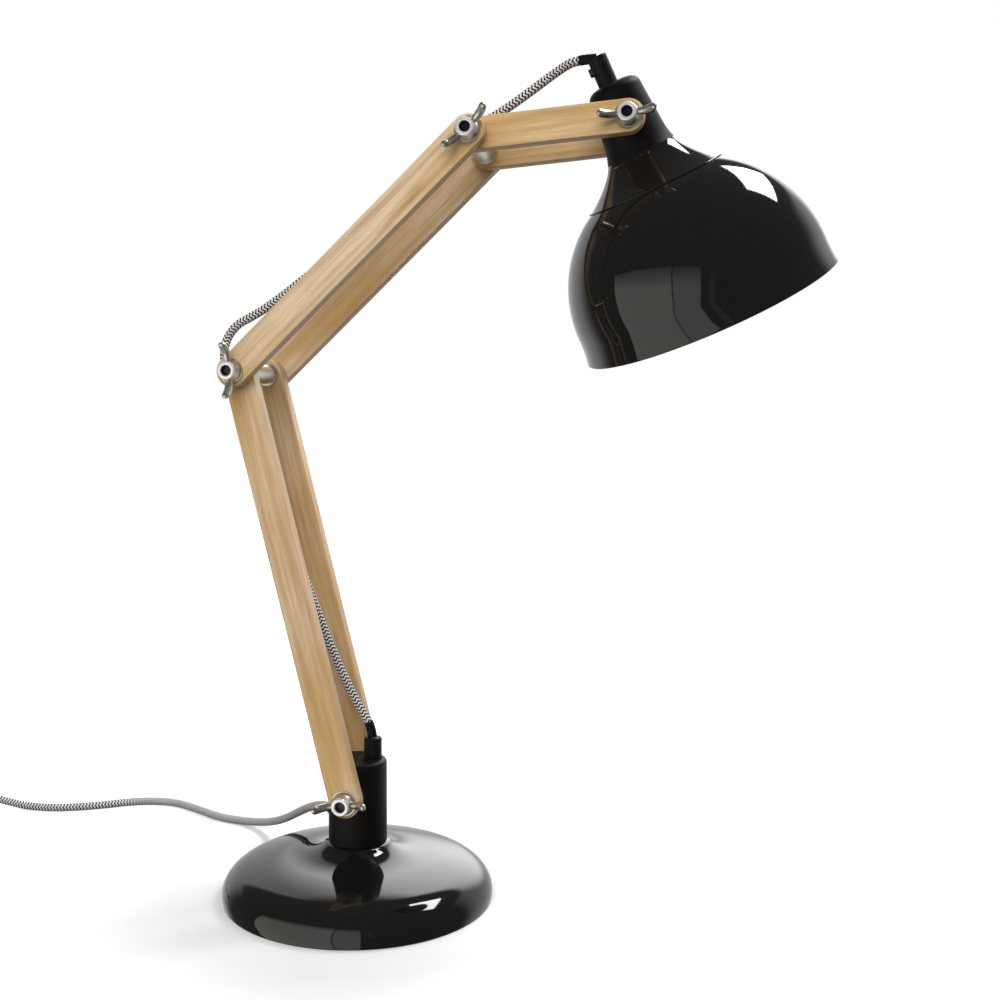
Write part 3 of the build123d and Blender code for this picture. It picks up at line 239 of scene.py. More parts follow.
@dataclass(frozen=True)
class SpeckledFinish:
    """A plain moulded, painted or plated surface whose tone, gloss and relief vary a little."""

    name: str
    light: Colour
    dark: Colour
    roughness: Pair
    grain_size: float
    relief: float
    metallic: float = 0.0
    specular: float = 0.5
    sheen: float = 0.0
    clouds_per_metre: float = 45.0
    cloud_edge: Pair = (0.35, 0.65)
    grain_share: Pair = (0.4, 1.0)

    def build(self) -> bpy.types.Material:
        """Mixes two tones by a cloud of noise, and raises the surface by a finer one of the grain's size."""
        sheet = NodeSheet(self.name)
        coordinates = sheet.place()
        clouds = sheet.noise(coordinates, self.clouds_per_metre, 3.0)
        grain = sheet.noise(coordinates, 1.0 / (self.grain_size * MM), 5.0, 0.6)
        patches = sheet.span(clouds, *self.cloud_edge, 0.0, 1.0)
        blend = sheet.math("MULTIPLY", patches, sheet.span(grain, *NOISE_RANGE, *self.grain_share))
        sheet.to_shader(sheet.mix(blend, self.dark, self.light), "Base Color")
        sheet.to_shader(sheet.span(clouds, *NOISE_RANGE, *self.roughness), "Roughness")
        sheet.set_shader(metallic=self.metallic, specular_ior_level=self.specular, sheen_weight=self.sheen)
        sheet.bump(grain, self.relief * MM)
        return sheet.material


@dataclass(frozen=True)
class BoltFinish:
    """A zinc-plated bolt whose threaded end, deep in its nut's mouth, is painted dark as painted shade."""

    name: str
    zinc: Colour = (0.72, 0.72, 0.69)
    worn: Colour = (0.52, 0.52, 0.48)
    # thread is a dark tone that is painted shade, where the bolt's end sits deep in the nut's mouth
    thread: Colour = (0.045, 0.047, 0.05)
    painted_shade_start: float = -30.0
    thread_fade: float = 2.0
    grains_per_metre: float = 1400.0
    roughness: Pair = (0.34, 0.5)
    relief: float = 0.01

    def build(self) -> bpy.types.Material:
        """Mixes the two plated tones by noise, and goes over to the thread's dark tone along -Y, a painted
        shade on the end deep in the nut.
        """
        sheet = NodeSheet(self.name)
        coordinates = sheet.place()
        grain = sheet.noise(coordinates, self.grains_per_metre, 5.0, 0.6)
        plated = sheet.mix(sheet.span(grain, *NOISE_RANGE, 0.0, 1.0), self.zinc, self.worn)
        depth = sheet.add("SeparateXYZ", {0: coordinates}).outputs[1]
        start, end = self.painted_shade_start * MM, (self.painted_shade_start - self.thread_fade) * MM
        # painted shade: past the start along -Y the bolt is drawn dark, where the nut's mouth shades it
        inside = sheet.span(depth, end, start, 1.0, 0.0)
        sheet.to_shader(sheet.mix(inside, plated, self.thread), "Base Color")
        sheet.to_shader(sheet.span(grain, *NOISE_RANGE, *self.roughness), "Roughness")
        sheet.set_shader(metallic=1.0)
        sheet.bump(grain, self.relief * MM)
        return sheet.material


@dataclass(frozen=True)
class EnamelFinish:
    """Stoved gloss enamel: an almost even tone under a mirror-like skin with a trace of orange peel."""

    name: str
    tone: Colour
    dust: Colour
    roughness: float = 0.035
    worn_by: float = 0.03
    peel: float = 0.02
    peels_per_metre: float = 120.0
    specks_per_metre: float = 900.0
    speck_edge: Pair = (0.66, 0.8)
    speck_share: float = 0.5
    handled_per_metre: float = 14.0

    def build(self) -> bpy.types.Material:
        """Gloss over a tone that a sparse fine noise lightens by a few specks of dust."""
        sheet = NodeSheet(self.name)
        coordinates = sheet.place()
        specks = sheet.noise(coordinates, self.specks_per_metre, 2.0, 0.7)
        peel = sheet.noise(coordinates, self.peels_per_metre, 1.0, 0.4)
        handled = sheet.noise(coordinates, self.handled_per_metre)
        dusty = sheet.span(specks, *self.speck_edge, 0.0, self.speck_share)
        worn = sheet.span(handled, *NOISE_RANGE, self.roughness, self.roughness + self.worn_by)
        sheet.to_shader(sheet.mix(dusty, self.tone, self.dust), "Base Color")
        sheet.to_shader(worn, "Roughness")
        sheet.bump(peel, self.peel * MM)
        return sheet.material


@dataclass(frozen=True)
class WoodFinish:
    """Pale lacquered wood with its grain along one slat; each scale is per metre, along and across it."""

    name: str
    start: Pair
    angle: float
    seed: float
    pale: Colour
    honey: Colour = (0.66, 0.42, 0.175)
    late: Colour = (0.40, 0.225, 0.085)
    pore: Colour = (0.22, 0.125, 0.055)
    wander_scale: Pair = (7.0, 30.0)
    band_scale: Pair = (2.4, 30.0)
    streak_scale: Pair = (13.0, 330.0)
    fibre_scale: Pair = (60.0, 2600.0)
    pore_scale: Pair = (120.0, 1900.0)
    knot_scale: Pair = (14.0, 60.0)
    lacquer: Pair = (0.42, 0.56)
    specular: float = 0.35
    fibre_rise: float = 0.35
    relief: float = 0.12

    def build(self) -> bpy.types.Material:
        """Long bands of growth, streaks, short pores and a knot or two, all stretched along the slat."""
        sheet = NodeSheet(self.name)
        start = (self.start[0] * MM - self.seed, 0.37 * self.seed, self.start[1] * MM)
        turn = (0.0, -math.radians(self.angle), 0.0)

        def stretched(along: float, across: float) -> Any:
            """Coordinates stretched to so many units a metre along the slat and across it."""
            return sheet.place(start, turn, (along, across, across))

        wander = sheet.noise(stretched(*self.wander_scale), 1.0, 3.0)
        bands = sheet.add(
            "TexWave", {
                "Vector": stretched(*self.band_scale), "Scale": 1.0, "Distortion": 11.0, "Detail": 4.0,
                "Detail Scale": 0.7,
            }, wave_type="BANDS", bands_direction="Z",
        ).outputs["Fac"]
        streaks = sheet.noise(stretched(*self.streak_scale), 1.0, 6.0, 0.66)
        fibres = sheet.noise(stretched(*self.fibre_scale), 1.0, 3.0, 0.6)
        pores = sheet.noise(stretched(*self.pore_scale), 1.0, 2.0, 0.5)
        knots = sheet.noise(stretched(*self.knot_scale), 1.0, 2.0, 0.5)
        tone = sheet.mix(sheet.span(wander, 0.38, 0.68, 0.0, 1.0, True), self.pale, self.honey)
        tone = sheet.mix(sheet.span(bands, 0.5, 1.0, 0.0, 0.26, True), tone, self.late)
        tone = sheet.mix(sheet.span(streaks, 0.44, 0.70, 0.0, 0.55), tone, self.late)
        tone = sheet.mix(sheet.span(fibres, 0.35, 0.7, 0.0, 0.2), tone, self.pore)
        tone = sheet.mix(sheet.span(knots, 0.66, 0.80, 0.0, 0.6, True), tone, self.late)
        pored = sheet.span(pores, 0.66, 0.76, 0.0, 0.5)
        sheet.to_shader(sheet.mix(pored, tone, self.pore), "Base Color")
        sheet.to_shader(sheet.span(streaks, *NOISE_RANGE, *self.lacquer), "Roughness")
        relief = sheet.math("SUBTRACT", sheet.math("MULTIPLY", fibres, self.fibre_rise), pored)
        sheet.set_shader(specular_ior_level=self.specular)
        sheet.bump(relief, self.relief * MM)
        return sheet.material


@dataclass(frozen=True)
class BraidFinish:
    """A textile sleeve woven in two yarns, whose stripes run zigzag round the cord."""

    name: str
    period: float = 2.6
    zigzags: float = 5.0
    reach: float = 1.45
    white: Colour = (0.88, 0.85, 0.83)
    worn: Colour = (0.62, 0.58, 0.56)
    black: Colour = (0.012, 0.010, 0.012)
    fuzz_per_metre: float = 2600.0
    raggedness: float = 0.16
    stripe_edge: Pair = (0.2, 0.3)
    fuzz_rise: float = 0.15
    roughness: float = 0.85
    specular: float = 0.25
    sheen: float = 0.25
    relief: float = 0.35

    def build(self) -> bpy.types.Material:
        """A stripe's phase is length over period plus a triangle wave round the cord; half is black."""
        sheet = NodeSheet(self.name)
        route = sheet.add("SeparateXYZ", {0: sheet.add("UVMap", uv_map="Route").outputs[0]})
        wave = sheet.math("PINGPONG", sheet.math("MULTIPLY", route.outputs[1], self.zigzags), 0.5)
        along = sheet.math("DIVIDE", route.outputs[0], self.period * MM)
        phase = sheet.math("ADD", along, sheet.math("MULTIPLY", wave, 2.0 * self.reach / self.period))
        stripe = sheet.math("PINGPONG", phase, 0.5)
        fuzz = sheet.noise(sheet.place(), self.fuzz_per_metre, 3.0, 0.7)
        strays = sheet.math("MULTIPLY", sheet.math("SUBTRACT", fuzz, 0.5), self.raggedness)
        share = sheet.span(sheet.math("ADD", stripe, strays), *self.stripe_edge, 0.0, 1.0, True)
        yarn = sheet.mix(fuzz, self.white, self.worn)
        sheet.to_shader(sheet.mix(share, self.black, yarn), "Base Color")
        rows = sheet.math("PINGPONG", sheet.math("MULTIPLY", route.outputs[1], 4 * self.zigzags), 0.5)
        picks = sheet.math("PINGPONG", sheet.math("MULTIPLY", phase, 2.0), 0.5)
        woven, fluff = sheet.math("MULTIPLY", rows, picks), sheet.math("MULTIPLY", fuzz, self.fuzz_rise)
        sheet.set_shader(roughness=self.roughness, specular_ior_level=self.specular, sheen_weight=self.sheen)
        sheet.bump(sheet.math("ADD", woven, fluff), self.relief * MM)
        return sheet.material


@dataclass(frozen=True)
class FrostedGlassFinish:
    """Bulb glass with a white powder inside: bright, a little see-through and glossy outside."""

    name: str
    tone: Colour = (0.86, 0.85, 0.81)
    clouded: Colour = (0.78, 0.77, 0.73)
    clouds_per_metre: float = 60.0
    cloud_share: float = 0.3
    roughness: float = 0.22
    let_through: float = 0.35
    refraction: float = 1.5
    relief: float = 0.01

    def build(self) -> bpy.types.Material:
        """A pale tone that a slow noise clouds, with part of the light let through."""
        sheet = NodeSheet(self.name)
        clouds = sheet.noise(sheet.place(), self.clouds_per_metre)
        share = sheet.span(clouds, *NOISE_RANGE, 0.0, self.cloud_share)
        sheet.to_shader(sheet.mix(share, self.tone, self.clouded), "Base Color")
        sheet.set_shader(roughness=self.roughness, transmission_weight=self.let_through, ior=self.refraction)
        sheet.bump(clouds, self.relief * MM)
        return sheet.material


class Look(Enum):
    """The lamp's finishes, apart from the wood of each slat."""

    _value_: Finish

    ENAMEL = EnamelFinish("gloss_black_enamel", (0.0062, 0.0054, 0.0050), (0.06, 0.055, 0.055))
    ENAMEL_INSIDE = EnamelFinish("white_enamel_inside", (0.74, 0.73, 0.70), (0.6, 0.59, 0.56), 0.18)
    MATTE = SpeckledFinish(
        "matte_black_lacquer", (0.0055, 0.0045, 0.0038), (0.003, 0.0025, 0.002), (0.5, 0.62), 0.6, 0.012,
        specular=0.18,
    )
    FITTING = SpeckledFinish(
        "black_moulded_fitting", (0.007, 0.006, 0.0055), (0.004, 0.0035, 0.003), (0.48, 0.6), 0.35, 0.02,
        specular=0.22,
    )
    BLACK_STEEL = SpeckledFinish(
        "black_painted_steel", (0.02, 0.02, 0.02), (0.012, 0.012, 0.012), (0.3, 0.42), 0.8, 0.01
    )
    ZINC = SpeckledFinish(
        "zinc_plated_steel", (0.72, 0.72, 0.69), (0.52, 0.52, 0.48), (0.3, 0.42), 0.7, 0.008, metallic=1.0
    )
    CAST_ZINC = SpeckledFinish(
        "zinc_plated_casting", (0.74, 0.75, 0.71), (0.46, 0.465, 0.42), (0.3, 0.44), 0.9, 0.03, metallic=1.0
    )
    # A painted highlight: the wing nuts' mouth rings get a pale, partly diffuse zinc so that they look lit
    # bright.
    PAINTED_RIM_HIGHLIGHT = SpeckledFinish(
        "mouth_ring_painted_highlight", (0.92, 0.92, 0.9), (0.74, 0.74, 0.72), (0.24, 0.34), 0.7, 0.01, metallic=0.55
    )
    BOLT = BoltFinish("zinc_plated_bolt")
    CAST_IRON = SpeckledFinish(
        "cast_iron_ballast", (0.16, 0.155, 0.15), (0.08, 0.077, 0.073), (0.6, 0.8), 1.4, 0.18, metallic=0.6
    )
    FELT = SpeckledFinish(
        "black_felt", (0.04, 0.039, 0.038), (0.018, 0.018, 0.018), (0.9, 1.0), 0.45, 0.3,
        specular=0.2, sheen=0.5,
    )
    BRAID = BraidFinish("braided_textile")
    PLASTIC = SpeckledFinish(
        "black_moulded_plastic", (0.016, 0.016, 0.016), (0.011, 0.011, 0.011), (0.3, 0.42), 0.3, 0.008
    )
    WHITE_PLASTIC = SpeckledFinish(
        "white_moulded_plastic", (0.78, 0.77, 0.73), (0.68, 0.67, 0.63), (0.35, 0.45), 0.5, 0.01
    )
    BRASS = SpeckledFinish(
        "contact_brass", (0.72, 0.5, 0.2), (0.52, 0.34, 0.13), (0.22, 0.36), 0.5, 0.005, metallic=1.0
    )
    CAP_METAL = SpeckledFinish(
        "bulb_cap_aluminium", (0.74, 0.74, 0.75), (0.6, 0.6, 0.61), (0.2, 0.3), 0.6, 0.004, metallic=1.0
    )
    GLASS = FrostedGlassFinish("frosted_bulb_glass")

    @cached_property
    def material(self) -> bpy.types.Material:
        """The finish's one material, built when it is first asked for."""
        return self.value.build()


# Surfaces worked out on grids


def round_turn(columns: int) -> np.ndarray:
    """The angles of a full turn in so many steps, with both ends."""
    return np.linspace(0.0, 2 * np.pi, columns + 1)


def gaps(line: np.ndarray) -> np.ndarray:
    """The distance from each point of a line to the next."""
    return np.linalg.norm(np.diff(line, axis=0), axis=1)


def unit_rows(rows: np.ndarray) -> np.ndarray:
    """Each row divided by its length."""
    return rows / np.linalg.norm(rows, axis=1)[:, None]


def bezier(start: Sequence[float], one: Sequence[float], two: Sequence[float], end: Sequence[float],
           steps: int) -> np.ndarray:
    """A cubic Bezier: each point is weighed by the powers of t and of 1 - t, times 1, 3, 3 and 1.

    Args:
        start, one, two, end: the four control points.
        steps: how many points there are along it, both ends included.

    Returns:
        The points, one a row.
    """
    t = np.linspace(0.0, 1.0, steps)[:, None]
    p = [np.asarray(v, float) for v in (start, one, two, end)]
    return (1 - t) ** 3 * p[0] + 3 * (1 - t) ** 2 * t * p[1] + 3 * (1 - t) * t**2 * p[2] + t**3 * p[3]


def circle_arc(centre: Pair, radius: float, first: float, last: float,
               steps: int) -> np.ndarray:
    """Points at a radius from a centre, from the first angle to the last, in degrees."""
    a = np.radians(np.linspace(first, last, steps))
    return np.stack([centre[0] + radius * np.cos(a), centre[1] + radius * np.sin(a)], -1)


def joined(*lines: np.ndarray | Sequence[Sequence[float]]) -> np.ndarray:
    """Strings several profile lines together and drops a point that repeats the one before it."""
    points = np.vstack([np.asarray(line, float).reshape(-1, 2) for line in lines])
    keep = np.ones(len(points), bool)
    keep[1:] = gaps(points) > SAME_POINT
    return points[keep]


@dataclass
class Grid:
    """A surface given as rows and columns of points, in millimetres, with the seam column repeated."""

    points: np.ndarray
    uv: np.ndarray | None = None
    material: np.ndarray | None = None

    @classmethod
    def turned(cls, profile: np.ndarray, origin: Vector, axis: Vector, columns: int, closed: bool,
               swell: np.ndarray | float = 0.0) -> "Grid":
        """Carries a profile of (radius, depth) round an axis.

        A point is the origin, plus the axis times its depth, plus its radius times the direction
        cos(angle) of one side vector plus sin(angle) of the other. A swell is added to the radius.

        Args:
            profile: the profile's points.
            origin: where depth is nought.
            axis: the unit vector along which depth grows.
            columns: how many steps a full turn has.
            closed: whether the profile's last point joins its first.
            swell: what each point's radius is larger by, a number or a row of numbers for each row.

        Returns:
            The grid.
        """
        if closed:
            profile = np.vstack([profile, profile[:1]])
        side = axis.orthogonal().normalized()
        a = round_turn(columns)[:, None]
        ring = np.cos(a) * np.array(side) + np.sin(a) * np.array(axis.cross(side))
        points = (
            np.array(origin)
            + profile[:, 1][:, None, None] * np.array(axis)
            + (profile[:, :1] + swell)[..., None] * ring[None]
        )
        return cls(points)

    @classmethod
    def tube(cls, line: np.ndarray, radius: float, reference: Point, columns: int) -> "Grid":
        """A round tube along a line, closed by a point at each end.

        Its rings lie across the line. The first side vector is the reference less its part along the
        line, and the second is their cross product. Route coordinates are metres along and turns round.

        Args:
            line: points along the middle, evenly spaced, in millimetres.
            radius: the tube's radius.
            reference: a direction that the line never points in.
            columns: how many sides the tube has.

        Returns:
            The grid.
        """
        tangent, aside = unit_rows(np.gradient(line, axis=0)), np.asarray(reference, float)
        side = unit_rows(aside - (tangent @ aside)[:, None] * tangent)
        other = np.cross(tangent, side)
        a = round_turn(columns)
        ring = side[:, None] * np.cos(a)[None, :, None] + other[:, None] * np.sin(a)[None, :, None]
        ends = [np.repeat(line[i][None, None], columns + 1, 1) for i in (0, -1)]
        points = np.concatenate([ends[0], line[:, None] + radius * ring, ends[1]])
        steps = np.r_[0.0, 0.0, np.cumsum(gaps(line)), 0.0]
        steps[-1] = steps[-2]
        uv = np.stack(np.broadcast_arrays(steps[:, None] * MM, (a / (2 * np.pi))[None]), -1)
        return cls(points, uv)

    def painted(self, first: int) -> "Grid":
        """Gives the faces from a row on, apart from the last two rows, the piece's second finish.

        Args:
            first: the row that it starts from.

        Returns:
            The same grid.
        """
        self.material = np.zeros((self.points.shape[0] - 1, self.points.shape[1] - 1), np.int32)
        self.material[first:-2] = 1
        return self

    def corners(self) -> np.ndarray:
        """The four corner numbers of each face, counted row by row."""
        rows, columns = self.points.shape[:2]
        i, j = np.meshgrid(np.arange(rows - 1), np.arange(columns - 1), indexing="ij")
        first = (i * columns + j).ravel()
        return np.stack([first, first + 1, first + columns + 1, first + columns], -1)


def linked(name: str, data: bpy.types.ID) -> bpy.types.Object:
    """Makes an object from its data and links it to the scene."""
    made = bpy.data.objects.new(name, data)
    bpy.context.scene.collection.objects.link(made)
    return made


def make_panel(name: str, edges: Sequence[Point], material: bpy.types.Material) -> bpy.types.Object:
    """Makes a flat panel of one face.

    Args:
        name: the panel's name.
        edges: its four corners in metres.
        material: its material.

    Returns:
        The new object, linked to the scene.
    """
    mesh = bpy.data.meshes.new(name)
    mesh.from_pydata(edges, [], [(0, 1, 2, 3)])
    mesh.materials.append(material)
    return linked(name, mesh)


def make_piece(name: str, grids: Sequence[Grid], looks: Sequence[Look],
               sharp: float = SHARP) -> bpy.types.Object:
    """Writes grids into one mesh object, in metres, with doubles merged and faces outwards.

    Args:
        name: the piece's name.
        grids: its surfaces.
        looks: its finishes; a grid's own array says which one each of its faces has.
        sharp: the angle in degrees above which an edge is kept sharp.

    Returns:
        The new object, linked to the scene.
    """
    mesh = bpy.data.meshes.new(name)
    starts = np.cumsum([0] + [g.points.shape[0] * g.points.shape[1] for g in grids])
    points = np.vstack([g.points.reshape(-1, 3) for g in grids]) * MM
    faces = np.vstack([g.corners() + s for g, s in zip(grids, starts)])
    mesh.from_pydata(points, [], faces.tolist())
    if all(g.uv is not None for g in grids):
        layer = mesh.uv_layers.new(name="Route")
        route = np.vstack([g.uv.reshape(-1, 2) for g in grids])
        layer.data.foreach_set("uv", route[faces.ravel()].astype(np.float32).ravel())
    for look in looks:
        mesh.materials.append(look.material)
    kinds = np.concatenate([
        np.zeros(len(g.corners()), np.int32) if g.material is None else g.material.astype(np.int32).ravel()
        for g in grids
    ])
    mesh.polygons.foreach_set("material_index", kinds)
    mesh.polygons.foreach_set("use_smooth", np.ones(len(faces), bool))
    work = bmesh.new()
    work.from_mesh(mesh)
    bmesh.ops.remove_doubles(work, verts=work.verts, dist=MERGED)
    bmesh.ops.dissolve_degenerate(work, edges=work.edges, dist=COLLAPSED)
    bmesh.ops.recalc_face_normals(work, faces=work.faces)
    work.to_mesh(mesh)
    work.free()
    mesh.set_sharp_from_angle(angle=math.radians(sharp))
    return linked(name, mesh)


def place(piece: bpy.types.Object, body: Body, slot: Slot, *nodes: str) -> bpy.types.Object:
    """Makes a piece ride on a body and stand for CAD nodes, which it hides."""
    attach(piece, body.value)
    if nodes:
        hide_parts(*nodes)
    LOG.info("%s rides on %s and stands for %s", piece.name, body.value, ", ".join(nodes) or "nothing")
    return piece


def dress(frame: dict[str, Any], material: bpy.types.Material, *nodes: str) -> None:
    """Gives CAD nodes a material in place of the one they came with."""
    for name in nodes:
        mesh = frame["nodes"][name].data
        mesh.materials.clear()
        mesh.materials.append(material)
        LOG.info("%s is dressed in %s", name, material.name)


# The lamp's plan, as the part's source has it


@dataclass(frozen=True)
class Plan:
    """The pivots and the head's axis, in millimetres and degrees."""

    pivot_height: float = 75.0
    lower_length: float = 301.6
    lower_angle: float = 104.37
    upper_length: float = 223.0
    upper_angle: float = 43.66
    head_arm_length: float = 101.8
    head_arm_angle: float = 4.1
    inner_face: float = 25.0
    slat_thickness: float = 10.5
    slat_spacing: float = 0.5
    head_tilt: float = 23.7
    head_lean: float = 13.0

    @staticmethod
    def on_arm(start: Pair, angle: float, along: float, side: float) -> Pair:
        """A point so far along an arm from its start and so far to its right, as x and z."""
        a = math.radians(angle)
        return (
            start[0] + along * math.cos(a) + side * math.sin(a),
            start[1] + along * math.sin(a) - side * math.cos(a),
        )

    @property
    def base_pivot(self) -> Pair:
        """The joint between the stem and the lower arm."""
        return (0.0, self.pivot_height)

    @property
    def elbow_one(self) -> Pair:
        """The joint between the lower and the upper arm."""
        return self.on_arm(self.base_pivot, self.lower_angle, self.lower_length, 0.0)

    @property
    def elbow_two(self) -> Pair:
        """The joint between the upper and the head arm."""
        return self.on_arm(self.elbow_one, self.upper_angle, self.upper_length, 0.0)

    @property
    def head_pivot(self) -> Pair:
        """The joint between the head arm and the head."""
        return self.on_arm(self.elbow_two, self.head_arm_angle, self.head_arm_length, 0.0)

    @property
    def outer_face(self) -> float:
        """How far in front of the middle the lower and the head arm's slats end."""
        return self.inner_face + self.slat_thickness

    @property
    def upper_outer_face(self) -> float:
        """How far in front of the middle the upper arm's slats end."""
        return self.outer_face + self.slat_spacing + self.slat_thickness

    @property
    def head_axis(self) -> Vector:
        """The unit vector from the head's pivot towards the shade's mouth."""
        t, lean = math.radians(self.head_tilt), math.radians(self.head_lean)
        return Vector((math.sin(t) * math.cos(lean), math.sin(lean), -math.cos(t) * math.cos(lean)))

    @property
    def head_origin(self) -> Vector:
        """The head's pivot in the middle of the lamp."""
        return Vector((self.head_pivot[0], 0.0, self.head_pivot[1]))


# Sub-assemblies


@dataclass
class Base:
    """The weighted base: enamelled dome over its ballast, plate and felt, and the stem on top."""

    radius: float = 95.0
    foot_radius: float = 94.7
    widest_height: float = 4.6
    shoulder: Pair = (77.0, 23.6)
    saddle: Pair = (50.0, 28.7)
    flare_radius: float = 22.6
    seat_height: float = 38.0
    hole_radius: float = 5.5
    wall: float = 2.0
    inner_shoulder: Pair = (76.5, 21.65)
    inner_saddle: Pair = (49.8, 26.7)
    lip_height: float = 0.8
    lip_radius: float = 0.8
    table_gap: float = 0.3
    columns: int = 256

    def dome_profile(self) -> np.ndarray:
        """The shell's section: Beziers for foot, shoulder, dome, flare and the inside, and a rolled lip."""
        radius, inside = self.radius, self.radius - self.wall
        foot, widest = (self.foot_radius, self.lip_height), (radius, self.widest_height)
        under = self.seat_height - self.wall
        lip = (self.foot_radius - 2 * self.lip_radius, self.lip_height)
        rolled = circle_arc(
            (self.foot_radius - self.lip_radius, self.lip_height + 0.05), self.lip_radius, 180.0, 360.0, 9
        )
        rolled[:, 1] = np.maximum(rolled[:, 1], self.table_gap)
        return joined(
            bezier(foot, (94.9, 1.8), (radius, 2.8), widest, 6),
            bezier(widest, (radius, 12.4), (88.2, 20.6), self.shoulder, 48),
            bezier(self.shoulder, (69.5, 25.6), (59.0, 27.7), self.saddle, 26),
            bezier(self.saddle, (40.0, 29.8), (28.0, 31.8), (self.flare_radius, self.seat_height), 34),
            [(self.hole_radius, self.seat_height), (self.hole_radius, under)],
            bezier((self.flare_radius - 1, under), (26.4, 30.2), (39.3, 27.9), self.inner_saddle, 14),
            bezier(self.inner_saddle, (58.8, 25.7), (69.0, 23.65), self.inner_shoulder, 12),
            bezier(self.inner_shoulder, (87.0, 18.7), (inside, 11.8), (inside, self.widest_height), 18),
            bezier((inside, self.widest_height), (inside, 3.4), (inside, 2.2), lip, 4),
            rolled,
        )

    def build(self, frame: dict[str, Any]) -> None:
        """Makes the dome and dresses the rest of the base and the stem.
        """
        dome = Grid.turned(self.dome_profile(), Vector((0, 0, 0)), Vector(UP), self.columns, closed=True)
        place(make_piece("base_dome", [dome], [Look.ENAMEL]), Body.BASE, Slot.GLOSS, "base_shell")
        dress(frame, Look.FELT.material, "base_pad")
        dress(frame, Look.BLACK_STEEL.material, "base_plate")
        dress(frame, Look.CAST_IRON.material, "ballast_weight")
        dress(
            frame, Look.ZINC.material, "plate_screws", "stem_stud", "stem_nuts", "stem_washers", "stem_spacer"
        )
        dress(frame, Look.MATTE.material, "stem")
        dress(frame, Look.FITTING.material, "stem_gland", "side_gland", "stem_friction_washers")
        dress(frame, Look.WHITE_PLASTIC.material, "terminal_block")


@dataclass
class Arms:
    """Three pairs of slats with their bolts, washers and spacers."""

    plan: Plan
    rosy: Colour = (0.77, 0.575, 0.385)
    pale: Colour = (0.82, 0.63, 0.415)
    golden: Colour = (0.80, 0.575, 0.315)

    def build(self, frame: dict[str, Any]) -> None:
        """Dresses each slat in wood whose grain follows it, and the hardware in zinc.
        """
        plan = self.plan
        for arm, start, angle, tone, seeds in (
            ("lower_arm", plan.base_pivot, plan.lower_angle, self.rosy, (0.31, 1.77)),
            ("upper_arm", plan.elbow_one, plan.upper_angle, self.pale, (2.93, 4.08)),
            ("head_arm", plan.elbow_two, plan.head_arm_angle, self.golden, (5.52, 7.19)),
        ):
            for name, seed in zip((f"{arm}_front", f"{arm}_rear"), seeds):
                dress(frame, WoodFinish(f"wood_of_{name}", start, angle, seed, tone).build(), name)
        dress(
            frame, Look.ZINC.material, "base_bolt_washer", "elbow_bolt_washers", "head_bolt_washer",
            "elbow_one_spacer", "elbow_one_spacer_washers", "elbow_two_spacer", "elbow_two_spacer_washers",
        )
        dress(frame, Look.BOLT.material, "base_bolt", "elbow_one_bolt", "elbow_two_bolt", "head_bolt")


